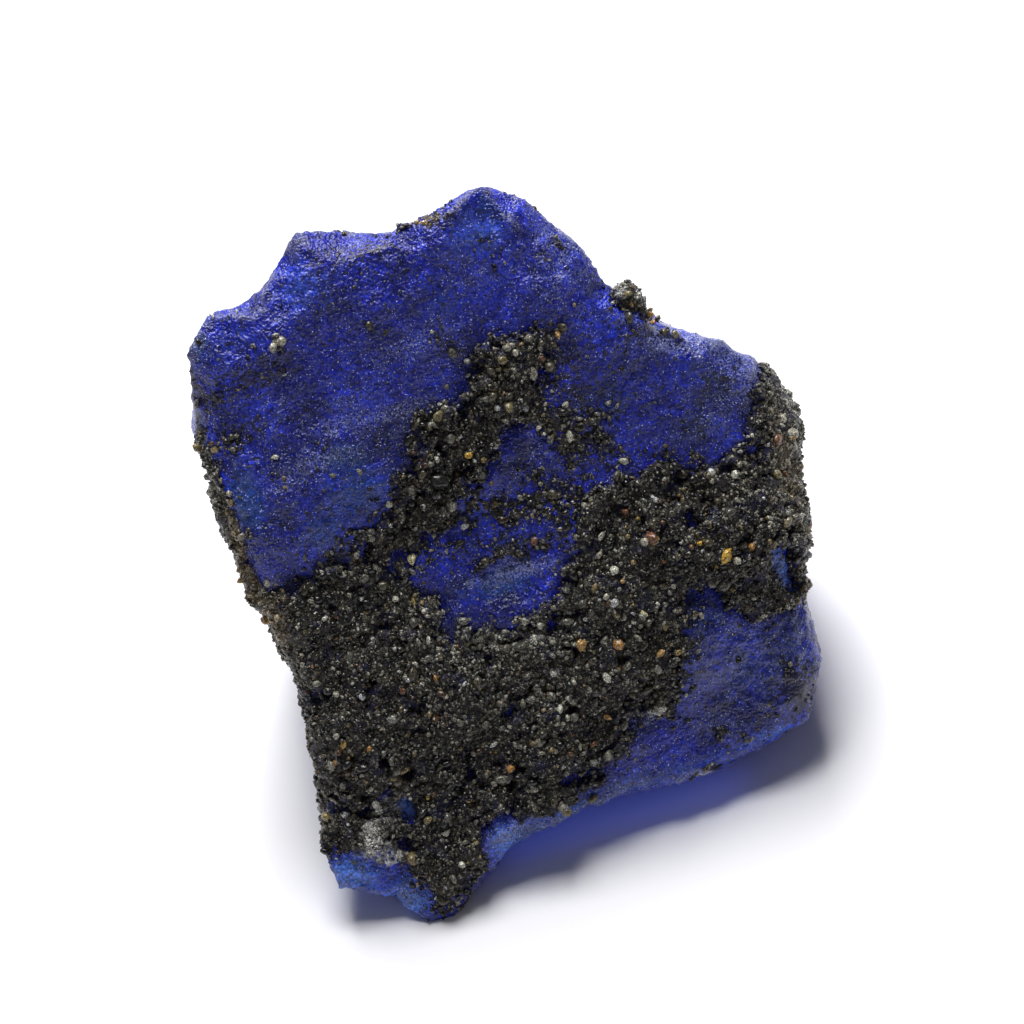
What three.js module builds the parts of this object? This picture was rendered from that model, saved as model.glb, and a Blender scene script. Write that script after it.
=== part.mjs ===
// A rough sapphire, standing as it was set down: a broken blue crystal with a broad face that leans
// back, and a crust of cemented sand over part of it. Millimetres, +Z up, the face towards -Y.
// The origin is on the surface that the stone stands on, under the middle of its bounding box.

import * as THREE from "three";
import { ImprovedNoise } from "three/addons/math/ImprovedNoise.js";
import { mergeVertices } from "three/addons/utils/BufferGeometryUtils.js";

// ---------------------------------------------------------------- driving dimensions

const FACE_LOOKS_UP = 48; // degrees above the horizontal that the stone's outline is drawn square to
const FACE_TURN = 10; // degrees that the broad face itself is steeper than that
const FACE_MIDDLE_HEIGHT = 17.3; // height of the outline's middle above the ground
const BACK_TAPER = 0.006; // share by which the sides draw in for each millimetre behind the face
const EDGE_ROUNDING = 1.5; // where two faces of the stone meet
const RIM_DEPTH = 1.0; // the stone is at its widest this far behind the broad face

const CRUST_GAP = 0.3; // between the stone and its crust
const CRUST_EDGE = 0.35; // thickness of the crust where it runs out
const CRUST_FULL = 0.85; // and in the middle of a patch
const CRUST_RUN_OUT = 3.0; // the thickness grows over this distance from the edge
const CRUST_LUMPS = 0.24; // height of its lumps
const CRUST_FRINGE = 0.5; // how far past its edge the solid layer still reaches
const CRUST_BED = 0.75; // the crust lies in a hollow of this depth, worn into the stone

const MESH_DETAIL = 15; // subdivisions of each icosahedron edge
const EVENING_ROUNDS = 30; // passes that spread the points evenly over the surface
const EVENING_PULL = 0.6; // share of the way to its neighbours' middle that a point goes in each

// ---------------------------------------------------------------- the outline and the face

// The stone seen square on to its outline: millimetres across, and up the leaning direction.
const OUTLINE = [
  [-16.2, 17.7],
  [-14.2, 19.5],
  [-9.7, 20.7],
  [-7.2, 22.6],
  [-0.7, 21.6],
  [1.8, 21.9],
  [4.5, 22.9],
  [7.0, 20.8],
  [9.8, 17.0],
  [10.8, 14.8],
  [12.8, 13.6],
  [14.7, 11.6],
  [17.0, 10.0],
  [18.6, 8.6],
  [19.6, 7.0],
  [19.9, 3.0],
  [18.5, -5.0],
  [17.9, -10.8],
  [16.0, -14.4],
  [13.9, -16.2],
  [11.9, -16.1],
  [9.4, -17.0],
  [6.4, -16.6],
  [4.4, -16.7],
  [2.0, -17.2],
  [-1.0, -17.3],
  [-3.6, -17.5],
  [-6.2, -19.1],
  [-8.2, -20.9],
  [-9.8, -21.2],
  [-12.0, -18.3],
  [-15.1, -17.5],
  [-15.3, -14.0],
  [-14.4, -6.5],
  [-15.6, 1.5],
  [-16.3, 9.0],
];
const OUTLINE_STEPS = 140;

const lean = THREE.MathUtils.degToRad(FACE_LOOKS_UP);
const turn = THREE.MathUtils.degToRad(FACE_TURN);
const across = new THREE.Vector3(1, 0, 0);
const upFace = new THREE.Vector3(0, Math.sin(lean), Math.cos(lean));
const outward = new THREE.Vector3(0, -Math.cos(lean), Math.sin(lean));
const faceMiddle = new THREE.Vector3(0, 0, FACE_MIDDLE_HEIGHT);

const outlineCurve = new THREE.CatmullRomCurve3(
  OUTLINE.map(([u, v]) => new THREE.Vector3(u, v, 0)),
  true,
  "centripetal",
);
const outlinePoints = outlineCurve.getPoints(OUTLINE_STEPS).slice(0, -1);

// Distance from the outline, below zero inside it.
function outlineDistance(u, v) {
  let nearest = Infinity;
  let inside = false;
  const count = outlinePoints.length;
  for (let i = 0, j = count - 1; i < count; j = i++) {
    const a = outlinePoints[i];
    const b = outlinePoints[j];
    const ex = b.x - a.x;
    const ey = b.y - a.y;
    const wx = u - a.x;
    const wy = v - a.y;
    const along = THREE.MathUtils.clamp((wx * ex + wy * ey) / (ex * ex + ey * ey), 0, 1);
    const dx = wx - ex * along;
    const dy = wy - ey * along;
    nearest = Math.min(nearest, dx * dx + dy * dy);
    const crosses = a.y > v !== b.y > v;
    if (crosses && u < a.x + (ex * (v - a.y)) / ey) inside = !inside;
  }
  return inside ? -Math.sqrt(nearest) : Math.sqrt(nearest);
}

// ---------------------------------------------------------------- relief

const perlin = new ImprovedNoise();

// Lumps of the given size, between about -1 and 1.
function lumps(p, size, seed) {
  return 2 * perlin.noise(p.x / size + seed, p.y / size - seed, p.z / size + 2 * seed);
}

// A rounded step from 0 to 1 as t passes zero, over the given width.
function step(t, width) {
  return THREE.MathUtils.smoothstep(t, -width / 2, width / 2);
}

// Splintery ledges cross the upper face, level with the ground: [place up the face, height].
const LEDGES = [
  [18.6, 0.35],
  [15.8, 0.5],
  [12.6, 0.45],
  [9.4, 0.6],
  [6.6, 0.45],
  [4.4, 0.4],
];
const LEDGE_WIDTH = 0.8; // of the lip
const LEDGE_RUN = 2.6; // each ledge slopes away over this distance above its lip
const LEDGE_TILT = 0.05; // how much the ledges rise to the right

function ledgeRelief(u, v) {
  const waver = 0.9 * perlin.noise(u / 5, v / 6, 4.2) + 0.5 * perlin.noise(u / 2.2, v / 4, 9.1);
  let height = 0;
  for (const [place, rise] of LEDGES) {
    const above = v - place - waver - LEDGE_TILT * u;
    height += rise * step(above, LEDGE_WIDTH) * Math.exp(-Math.max(above, 0) / LEDGE_RUN);
  }
  return height;
}

// Two slanting lines on the face: a place lies past a line where across * u + up * v > from.
const TONGUE_LINE = { across: 0.83, up: -0.56, from: -8.2 };
const FALL_LINE = { across: 0.55, up: -0.84, from: 8.1 };

const TONGUE_DEPTH = 0.5; // of the hollow that holds the tongue of crust
const RIGHT_STARTS = 5; // the upper right of the face turns away from here
const RIGHT_SLOPE = 0.09;
const FALL_SLOPE = 0.19; // the lower right falls back towards the ground
const BASIN = { u: 0.5, v: -0.3, wide: 3.3, tall: 1.9, depth: 0.7 };
const CHAMFER_STARTS = 17; // the right-hand rim is chamfered
const CHAMFER_SLOPE = 0.8;

function pastLine(u, v, line) {
  return line.across * u + line.up * v - line.from;
}

// How far the broad face stands forward of the outline's own plane.
function faceForward(u, v) {
  const tongue = TONGUE_DEPTH * step(pastLine(u, v, TONGUE_LINE), 2.4) * step(v - 1.5, 4);
  const right = RIGHT_SLOPE * Math.max(0, u - RIGHT_STARTS) * step(v + 2, 8);
  const fall = FALL_SLOPE * Math.max(0, pastLine(u, v, FALL_LINE)) * step(u - 2, 8);
  const fromBasin = ((u - BASIN.u) / BASIN.wide) ** 2 + ((v - BASIN.v) / BASIN.tall) ** 2;
  const basin = BASIN.depth * Math.exp(-fromBasin / 2);
  const chamfer = CHAMFER_SLOPE * Math.max(0, u - CHAMFER_STARTS);
  const ledges = ledgeRelief(u, v) * step(7.5 - u, 5) * step(v - 3, 3);
  return Math.tan(turn) * v + ledges - tongue - right - fall - basin - chamfer;
}

// The steep faces behind and the slanting ones beneath: a point on each, and its outward normal.
const BACK_FACES = [
  { at: [0, 17.2, 32], normal: [0.06, 0.985, 0.17] },
  { at: [0, 20.5, 11], normal: [-0.1, 0.9, -0.42] },
  { at: [-14, 15, 16], normal: [-0.6, 0.78, 0.16] },
  { at: [16, 15, 12], normal: [0.62, 0.77, -0.12] },
  { at: [0, 14, 0], normal: [0.05, 0.5, -0.87] },
  { at: [-11, 2, 0], normal: [-0.62, 0.04, -0.78] },
  { at: [12.5, 2, 0], normal: [0.45, -0.05, -0.89] },
  { at: [9.5, -5, 0], normal: [0.2, -0.34, -0.92] },
].map(({ at, normal }) => ({
  at: new THREE.Vector3(...at),
  normal: new THREE.Vector3(...normal).normalize(),
}));

// Shell-shaped chips knocked out of the back, the sides and the underside: centre and radius.
const CHIPS = [
  { at: [-9, 28.5, 24], radius: 10.5 },
  { at: [7, 31, 15], radius: 11.5 },
  { at: [17, 25, 29], radius: 10 },
  { at: [-20, 23, 7], radius: 9.5 },
  { at: [25, 10, 3], radius: 8.5 },
  { at: [0.2, -5.4, -7.1], radius: 10 },
  { at: [6.4, -5, -7.8], radius: 10 },
].map(({ at, radius }) => ({ at: new THREE.Vector3(...at), radius }));
const CHIP_RIM = 1.0;

// The larger of two distances, with a rounded change from one to the other.
function roundedMax(a, b, width) {
  const h = Math.max(width - Math.abs(a - b), 0) / width;
  return Math.max(a, b) + (h * h * width) / 4;
}

// A point in the outline's own directions: across, up the face, and out of it.
function faceCoordinates(p) {
  const q = p.clone().sub(faceMiddle);
  return { u: q.dot(across), v: q.dot(upFace), out: q.dot(outward) };
}

// ---------------------------------------------------------------- where the crust lies

// Bands of crust on the broad face: from, to (across, up) and half-width.
const CRUST_BANDS = [
  { from: [-11.2, -1.6], to: [-10.9, -12.4], half: 3.9 },
  { from: [-7.5, -2.6], to: [-3.5, -11], half: 3.0 },
  { from: [-5.5, -8.2], to: [4.2, -8.2], half: 4.4 },
  { from: [-12.6, -11.5], to: [-12.8, -13.7], half: 2.0 },
  { from: [-8.3, -14.5], to: [-8.3, -18.4], half: 2.2 },
  { from: [-6, -12.8], to: [1.4, -13.2], half: 2.7 },
  { from: [5.6, -6.2], to: [8.2, -2.4], half: 4.0 },
  { from: [9.4, -1.4], to: [15, -1.4], half: 3.8 },
  { from: [16.4, 0], to: [17.2, -4.2], half: 2.4 },
  { from: [13.4, -5], to: [16, -6.2], half: 1.6 },
  { from: [18.8, 5.4], to: [18.6, -4], half: 1.7 },
  { from: [-8, 0], to: [-5.2, 3.8], half: 1.5 },
  { from: [-3.8, 5.2], to: [0.4, 7.9], half: 2.0 },
  { from: [1.2, 8.8], to: [3.4, 11.2], half: 2.4 },
  { from: [4.2, 11.4], to: [6.2, 11.3], half: 1.7 },
];
const FACE_CRUST_DEPTH = 3.0; // how far round the rim the bands of the face reach
const PADS_START = 0.9; // the pads below start this far behind the face
const CRUST_RAGGED = 0.45; // how far the crust's edge wanders
const CRUST_LOWEST = 1.2; // the crust keeps this far off the ground

// Pads of crust on the sides and the back: centre and radius.
const CRUST_PADS = [
  { at: [-16.5, 1, 12], radius: 8.5 },
  { at: [-16, -2.5, 19], radius: 6.5 },
  { at: [-15, 9, 17], radius: 6.5 },
  { at: [-13, 14, 9], radius: 7.5 },
  { at: [-4, 20, 9], radius: 8 },
  { at: [20, 5, 15], radius: 8.5 },
  { at: [19.5, 3.5, 19.5], radius: 6 },
  { at: [12.4, 9.6, 25.6], radius: 3.4 },
  { at: [17, 14, 14], radius: 7.5 },
  { at: [8, 20, 11], radius: 6.5 },
].map(({ at, radius }) => ({ at: new THREE.Vector3(...at), radius }));

function distanceToBand(u, v, { from, to }) {
  const ex = to[0] - from[0];
  const ey = to[1] - from[1];
  const wx = u - from[0];
  const wy = v - from[1];
  const along = THREE.MathUtils.clamp((wx * ex + wy * ey) / (ex * ex + ey * ey), 0, 1);
  return Math.hypot(wx - ex * along, wy - ey * along);
}

// How far a point of the surface lies inside the crust's edge, below zero outside it.
function crustReach(p) {
  const { u, v, out } = faceCoordinates(p);
  const behindFace = faceForward(u, v) - out;
  let reach = -Infinity;
  for (const band of CRUST_BANDS) {
    reach = Math.max(reach, band.half - distanceToBand(u, v, band));
  }
  reach = Math.min(reach, FACE_CRUST_DEPTH - behindFace);
  for (const pad of CRUST_PADS) {
    const past = behindFace - PADS_START;
    reach = Math.max(reach, Math.min(pad.radius - p.distanceTo(pad.at), past));
  }
  const ragged = CRUST_RAGGED * lumps(p, 2.6, 3.3);
  return Math.min(reach + ragged, p.z - CRUST_LOWEST);
}

// ---------------------------------------------------------------- the stone's surface

const SWELLS = 0.35; // height of the broad swells of the broken surface
const FACE_PITS = 0.16; // height of the smaller lumps on the face
const BACK_PITS = 0.32; // and behind it
const BED_EDGE = 1.6; // the crust's hollow reaches its depth over this distance

// Above zero outside the stone and below zero inside it, about the distance in millimetres.
function outsideBy(p) {
  const { u, v, out } = faceCoordinates(p);
  const behind = faceForward(u, v) - out;
  const shrink = 1 - BACK_TAPER * Math.max(behind, 0);
  const sides = outlineDistance(u / shrink, v / shrink) * shrink;
  const face = -behind * Math.cos(turn);
  let gap = roundedMax(sides, face, EDGE_ROUNDING);
  for (const { at, normal } of BACK_FACES) {
    gap = roundedMax(gap, p.clone().sub(at).dot(normal), EDGE_ROUNDING);
  }
  for (const { at, radius } of CHIPS) {
    gap = roundedMax(gap, radius - p.distanceTo(at), CHIP_RIM);
  }
  const pits = THREE.MathUtils.lerp(FACE_PITS, BACK_PITS, step(behind - 2, 4));
  const rough = SWELLS * lumps(p, 7, 1.7) + pits * lumps(p, 2.6, 5.9);
  const bed = CRUST_BED * step(crustReach(p) - 0.2, BED_EDGE);
  return Math.max(gap + rough + bed, -p.z);
}

const castFrom = new THREE.Vector3(0.8, 6.5, 13.5); // well inside the stone
const NEAREST = 1; // the surface is looked for between these two distances from there
const FARTHEST = 45;
const HALVINGS = 16;

// The point where a line from inside the stone, through p, meets its surface.
function castThrough(p) {
  const direction = p.clone().sub(castFrom).normalize();
  let low = NEAREST;
  let high = FARTHEST;
  for (let i = 0; i < HALVINGS; i++) {
    const middle = (low + high) / 2;
    const at = castFrom.clone().addScaledVector(direction, middle);
    if (outsideBy(at) < 0) low = middle;
    else high = middle;
  }
  return castFrom.clone().addScaledVector(direction, (low + high) / 2);
}

const NUDGE = 0.02; // the slope is measured over this distance
const SETTLING_STEPS = 2;
const FLATTEST_SLOPE = 0.3; // keeps a step short where the distance hardly changes

// Which way the surface faces at a point, and how fast the distance grows that way.
function slopeAt(p, gap) {
  return new THREE.Vector3(
    outsideBy(new THREE.Vector3(p.x + NUDGE, p.y, p.z)) - gap,
    outsideBy(new THREE.Vector3(p.x, p.y + NUDGE, p.z)) - gap,
    outsideBy(new THREE.Vector3(p.x, p.y, p.z + NUDGE)) - gap,
  ).divideScalar(NUDGE);
}

// The nearest part of the surface to a point that already lies close to it.
function settle(p) {
  const at = p.clone();
  let slope;
  for (let i = 0; i < SETTLING_STEPS; i++) {
    const gap = outsideBy(at);
    slope = slopeAt(at, gap);
    at.addScaledVector(slope, -gap / Math.max(slope.lengthSq(), FLATTEST_SLOPE));
  }
  return { at, normal: slope.normalize() };
}

// ---------------------------------------------------------------- the mesh of points

// Half-sizes of the egg that the points are first spread over: across, up the face, through it.
const SPREAD = [17, 21, 11];

function spreadPoints() {
  const ball = new THREE.IcosahedronGeometry(1, MESH_DETAIL);
  ball.deleteAttribute("normal");
  ball.deleteAttribute("uv");
  const merged = mergeVertices(ball, 1e-5);
  const position = merged.attributes.position;
  const points = [];
  for (let i = 0; i < position.count; i++) {
    const point = castFrom.clone();
    point.addScaledVector(across, SPREAD[0] * position.getX(i));
    point.addScaledVector(upFace, SPREAD[1] * position.getY(i));
    point.addScaledVector(outward, SPREAD[2] * position.getZ(i));
    points.push(point);
  }
  return { points, faces: Array.from(merged.index.array) };
}

function neighboursOf(count, faces) {
  const sets = Array.from({ length: count }, () => new Set());
  for (let i = 0; i < faces.length; i += 3) {
    for (let k = 0; k < 3; k++) {
      sets[faces[i + k]].add(faces[i + ((k + 1) % 3)]);
      sets[faces[i + ((k + 1) % 3)]].add(faces[i + k]);
    }
  }
  return sets.map((set) => [...set]);
}

// A point slid along the surface, part of the way to the middle of its neighbours.
function slidToMiddle(point, indices, surface) {
  const pull = new THREE.Vector3();
  for (const index of indices) pull.add(surface[index].at);
  pull.divideScalar(indices.length).sub(point.at);
  pull.addScaledVector(point.normal, -pull.dot(point.normal));
  return point.at.clone().addScaledVector(pull, EVENING_PULL);
}

// The corners of the outline, on the rim of the stone.
function rimCorners() {
  return OUTLINE.map(([u, v]) => {
    const corner = faceMiddle.clone();
    corner.addScaledVector(across, u);
    corner.addScaledVector(upFace, v);
    corner.addScaledVector(outward, faceForward(u, v) - RIM_DEPTH);
    return settle(corner);
  });
}

// Gives each corner of the rim the point that lies nearest to it, and returns which points those are.
function pinToRim(surface) {
  const pinned = new Set();
  for (const corner of rimCorners()) {
    let nearest = -1;
    let distance = Infinity;
    surface.forEach(({ at }, i) => {
      if (pinned.has(i) || at.distanceTo(corner.at) >= distance) return;
      distance = at.distanceTo(corner.at);
      nearest = i;
    });
    surface[nearest] = corner;
    pinned.add(nearest);
  }
  return pinned;
}

function stoneSurface() {
  const { points, faces } = spreadPoints();
  const neighbours = neighboursOf(points.length, faces);
  let surface = points.map((p) => settle(castThrough(p)));
  const pinned = pinToRim(surface);
  for (let round = 0; round < EVENING_ROUNDS; round++) {
    surface = surface.map((p, i) => {
      return pinned.has(i) ? p : settle(slidToMiddle(p, neighbours[i], surface));
    });
  }
  for (const { at } of surface) {
    if (at.z < 1e-3) at.z = 0;
  }
  return { points: surface.map(({ at }) => at), faces };
}

function geometryOf(points, faces) {
  const coordinates = new Float32Array(points.flatMap((p) => [p.x, p.y, p.z]));
  const geometry = new THREE.BufferGeometry();
  geometry.setAttribute("position", new THREE.BufferAttribute(coordinates, 3));
  geometry.setIndex(faces);
  geometry.computeVertexNormals();
  return geometry;
}

// ---------------------------------------------------------------- the crust as a closed layer

function facesWithin(faces, kept) {
  const patch = [];
  for (let i = 0; i < faces.length; i += 3) {
    const face = faces.slice(i, i + 3);
    if (face.every((index) => kept[index])) patch.push(face);
  }
  return patch;
}

// The patch's rim, as one directed edge after another: start point to end point.
function rimEdges(patch) {
  const edges = new Map();
  for (const face of patch) {
    for (let k = 0; k < 3; k++) {
      const [a, b] = [face[k], face[(k + 1) % 3]];
      const reverse = b + "," + a;
      if (edges.has(reverse)) edges.delete(reverse);
      else edges.set(a + "," + b, [a, b]);
    }
  }
  return [...edges.values()];
}

function timesEach(indices) {
  const times = new Map();
  for (const index of indices) times.set(index, (times.get(index) ?? 0) + 1);
  return [...times];
}

// Drops the points where two corners of the patch only touch, and those that stick out on a single
// face, until its rim is simple.
function withSimpleRim(faces, kept) {
  for (;;) {
    const patch = facesWithin(faces, kept);
    const pinched = timesEach(rimEdges(patch).map(([start]) => start)).filter(([, n]) => n > 1);
    const spurs = timesEach(patch.flat()).filter(([, n]) => n === 1);
    if (!pinched.length && !spurs.length) return patch;
    for (const [index] of [...pinched, ...spurs]) kept[index] = false;
  }
}

// The largest stretch of the patch that hangs together.
function largestStretch(patch) {
  const facesAt = new Map();
  patch.forEach((face, i) => {
    for (const index of face) {
      if (!facesAt.has(index)) facesAt.set(index, []);
      facesAt.get(index).push(i);
    }
  });
  const seen = new Set();
  let best = [];
  patch.forEach((_, first) => {
    if (seen.has(first)) return;
    const stretch = [];
    const waiting = [first];
    seen.add(first);
    while (waiting.length) {
      const current = waiting.pop();
      stretch.push(patch[current]);
      for (const index of patch[current]) {
        for (const next of facesAt.get(index)) {
          if (seen.has(next)) continue;
          seen.add(next);
          waiting.push(next);
        }
      }
    }
    if (stretch.length > best.length) best = stretch;
  });
  return best;
}

function crustThickness(p) {
  const grown = THREE.MathUtils.smoothstep(crustReach(p), 0, CRUST_RUN_OUT);
  const grainy = CRUST_LUMPS * lumps(p, 2.2, 8.8);
  return Math.max(CRUST_EDGE, THREE.MathUtils.lerp(CRUST_EDGE, CRUST_FULL, grown) + grainy);
}

function crustLayer(points, normals, faces) {
  const kept = points.map((p) => crustReach(p) > -CRUST_FRINGE);
  const patch = largestStretch(withSimpleRim(faces, kept));
  const used = [...new Set(patch.flat())];
  const place = new Map(used.map((index, i) => [index, i]));
  const raised = (index, height) => points[index].clone().addScaledVector(normals[index], height);
  const inner = used.map((index) => raised(index, CRUST_GAP));
  const outer = used.map((index) => raised(index, CRUST_GAP + crustThickness(points[index])));
  const shift = used.length;
  const layerFaces = [];
  for (const face of patch) {
    const [a, b, c] = face.map((index) => place.get(index));
    layerFaces.push(a + shift, b + shift, c + shift);
    layerFaces.push(a, c, b);
  }
  for (const [start, end] of rimEdges(patch)) {
    const a = place.get(start);
    const b = place.get(end);
    layerFaces.push(a, b, b + shift);
    layerFaces.push(a, b + shift, a + shift);
  }
  return geometryOf([...inner, ...outer], layerFaces);
}

function normalsOf(geometry) {
  const normal = geometry.attributes.normal;
  return Array.from({ length: normal.count }, (_, i) =>
    new THREE.Vector3().fromBufferAttribute(normal, i),
  );
}

// ---------------------------------------------------------------- the finished stone

const surface = stoneSurface();
const stoneGeometry = geometryOf(surface.points, surface.faces);
const crustGeometry = crustLayer(surface.points, normalsOf(stoneGeometry), surface.faces);

const sapphire = new THREE.Mesh(
  stoneGeometry,
  new THREE.MeshStandardMaterial({ color: 0x1c2fa0, roughness: 0.45, metalness: 0 }),
);
sapphire.name = "sapphire";

const sandCrust = new THREE.Mesh(
  crustGeometry,
  new THREE.MeshStandardMaterial({ color: 0x3d3b35, roughness: 0.95, metalness: 0 }),
);
sandCrust.name = "sand_crust";

const roughSapphire = new THREE.Group();
roughSapphire.add(sapphire, sandCrust);

// The origin goes under the middle of the whole.
const box = new THREE.Box3().setFromObject(roughSapphire);
const middle = box.getCenter(new THREE.Vector3());
for (const mesh of roughSapphire.children) {
  mesh.position.set(-middle.x, -middle.y, -box.min.z);
}

export default roughSapphire;
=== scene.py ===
# %% [markdown]
# # A rough sapphire in a crust of sand
# The stone is a broken lump of deep blue corundum about as big as a walnut. It leans back on a flat
# underside, and dark cemented sand covers its lower front, its sides and part of its back.
# Two plain solids give its form: the stone, and the layer of crust. This script dresses them in order:
# camera, floor and light, then the splintery blue stone, the crust's bed, its thousands of grains, and
# last the finishes.

import math

import bpy
import bmesh
import numpy as np
from mathutils import Matrix, Vector, noise
from mathutils.bvhtree import BVHTree


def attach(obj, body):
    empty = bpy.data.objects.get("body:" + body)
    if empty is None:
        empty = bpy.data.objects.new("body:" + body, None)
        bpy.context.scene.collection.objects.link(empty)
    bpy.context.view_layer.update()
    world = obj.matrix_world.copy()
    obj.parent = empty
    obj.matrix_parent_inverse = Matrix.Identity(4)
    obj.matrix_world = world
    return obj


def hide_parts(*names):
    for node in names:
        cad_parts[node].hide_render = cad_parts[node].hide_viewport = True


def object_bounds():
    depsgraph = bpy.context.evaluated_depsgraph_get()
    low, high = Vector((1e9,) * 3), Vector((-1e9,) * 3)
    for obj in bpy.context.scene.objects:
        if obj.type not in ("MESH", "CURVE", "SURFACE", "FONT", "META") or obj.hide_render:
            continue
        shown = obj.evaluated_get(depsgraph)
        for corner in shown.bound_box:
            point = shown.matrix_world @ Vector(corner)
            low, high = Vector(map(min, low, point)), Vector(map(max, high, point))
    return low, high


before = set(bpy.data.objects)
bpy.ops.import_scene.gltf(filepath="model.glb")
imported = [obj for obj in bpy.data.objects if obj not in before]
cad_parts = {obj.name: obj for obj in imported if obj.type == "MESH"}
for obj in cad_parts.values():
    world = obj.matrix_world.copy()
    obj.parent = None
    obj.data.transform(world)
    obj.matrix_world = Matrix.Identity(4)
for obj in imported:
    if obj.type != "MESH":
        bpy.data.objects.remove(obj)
cad_low, cad_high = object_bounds()
MM = 0.001  # everything is in metres, so a millimetre is this much
print("the stone with its crust measures, in mm:", [round(s / MM, 1) for s in cad_high - cad_low])

# %% [markdown]
# ## Directions and places
# The broad face looks forward and up. Three directions belong to it: across, up the face, and out of
# it. A place on the face is named by two shares: how far across the stone it lies, from left to right,
# and how far up the face, from the foot to the ridge. A line cast straight at the face then finds the
# surface there, so that every patch of colour or stray grain lands on the stone itself.

# %% The face's own directions
FACE_LOOKS_UP = math.radians(48)  # how far the broad face looks up from the horizontal
CAST_FROM = 100 * MM  # lines at the face start this far in front of it
MOVED_INWARD = np.linspace(0, 0.3, 61)  # the shares of the way to the middle that are tried in turn
ACROSS = np.array([1.0, 0.0, 0.0])
UP_FACE = np.array([0.0, math.sin(FACE_LOOKS_UP), math.cos(FACE_LOOKS_UP)])
OUTWARD = np.array([0.0, -math.cos(FACE_LOOKS_UP), math.sin(FACE_LOOKS_UP)])


def points_of(mesh):
    """The mesh's points as an array of rows."""
    flat = np.empty(len(mesh.vertices) * 3)
    mesh.vertices.foreach_get("co", flat)
    return flat.reshape(-1, 3)


def triangles_of(mesh):
    """The mesh's faces, cut into triangles, as rows of three point numbers."""
    mesh.calc_loop_triangles()
    flat = np.empty(len(mesh.loop_triangles) * 3, np.int32)
    mesh.loop_triangles.foreach_get("vertices", flat)
    return flat.reshape(-1, 3)


def tree_of(mesh):
    return BVHTree.FromPolygons(points_of(mesh).tolist(), triangles_of(mesh).tolist())


stone_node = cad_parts["sapphire"]
crust_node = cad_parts["sand_crust"]
node_points = points_of(stone_node.data)
left, right = float(cad_low.x), float(cad_high.x)
foot, ridge = (node_points @ UP_FACE).min(), (node_points @ UP_FACE).max()
stone_tree = tree_of(stone_node.data)
crust_tree = tree_of(crust_node.data)


def on_face(across, up):
    """The point of the stone's face at these shares of its width and of its height up the face. A line
    that passes beside the stone is moved towards the middle until it meets the rim."""
    for inward in MOVED_INWARD:
        u = across + (0.5 - across) * inward
        v = up + (0.5 - up) * inward
        start = ACROSS * (left + u * (right - left)) + UP_FACE * (foot + v * (ridge - foot))
        hit = stone_tree.ray_cast(Vector(start + OUTWARD * CAST_FROM), Vector(-OUTWARD))[0]
        if hit is not None:
            return np.array(hit)
    raise ValueError(f"no stone near {across}, {up}")


print("the face's middle lies at, in mm:", (on_face(0.5, 0.5) / MM).round(1))

# %% [markdown]
# ## Camera
# The camera looks straight at the broad face from well above the ground. It is tipped to one side, so
# that the stone stands askew in view. A long lens keeps the proportions of such a small thing true.

# %% Camera
CAMERA_AWAY = 300 * MM
CAMERA_LENS = 172  # millimetres, as is the sensor's width
CAMERA_SENSOR = 36
CAMERA_TIP = math.radians(14.5)
AIM = (0.486, 0.429, 0.550)  # shares of the stone's box: across, deep and high
camera_data = bpy.data.cameras.new("camera")
camera_data.lens = CAMERA_LENS
camera_data.sensor_width = CAMERA_SENSOR
camera_data.clip_start = CAMERA_AWAY / 30
camera = bpy.data.objects.new("camera", camera_data)
bpy.context.scene.collection.objects.link(camera)
bpy.context.scene.camera = camera

aim = Vector([low + share * (high - low) for low, high, share in zip(cad_low, cad_high, AIM)])
look = Vector(-OUTWARD)
upright = Vector(UP_FACE)
up_tipped = Matrix.Rotation(CAMERA_TIP, 3, look) @ upright
right_tipped = look.cross(up_tipped)
turn = Matrix((right_tipped, up_tipped, -look)).transposed()
camera.matrix_world = Matrix.Translation(aim - look * CAMERA_AWAY) @ turn.to_4x4()
print("the camera stands at, in mm:", [round(c / MM) for c in camera.matrix_world.translation])

# %% [markdown]
# ## Floor and light
# A sheet of white paper and two long soft lights, one high up behind the stone and one a little lower
# behind it, both narrower across than they are deep. Light from behind shines into the stone, which is
# what makes its thin edges glow, and throws the shadow forward, under the overhang. A lamp as wide as
# a matchbox adds the hard white points on the broken crystals, which a soft light alone can't give.

# %% Floor
FLOOR_SIZE = 3.0  # metres
PAPER_WHITE = (0.95, 0.94, 0.97, 1)
bpy.ops.mesh.primitive_plane_add(size=FLOOR_SIZE)
floor = bpy.context.object
floor.name = "paper"


def shader_of(name):
    """A new material, with its node tree and its own shader."""
    material = bpy.data.materials.new(name)
    material.use_nodes = True
    tree = material.node_tree
    return material, tree, tree.nodes["Principled BSDF"]


paper, paper_tree, paper_shader = shader_of("white_paper")
paper_shader.inputs["Base Color"].default_value = PAPER_WHITE
paper_shader.inputs["Roughness"].default_value = 0.8
floor.data.materials.append(paper)
print("the paper is a square with sides of", FLOOR_SIZE, "m")

# %% Light
ROOM_TONE, ROOM_STRENGTH = (0.93, 0.95, 1.0, 1), 0.10
LIGHTS_FACE = Vector((0, 0, 15))  # the stone's middle, in mm
world = bpy.data.worlds.new("soft_room")
bpy.context.scene.world = world
world.use_nodes = True
world.node_tree.nodes["Background"].inputs["Color"].default_value = ROOM_TONE
world.node_tree.nodes["Background"].inputs["Strength"].default_value = ROOM_STRENGTH
bpy.context.scene.view_settings.view_transform = "Standard"


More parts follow.
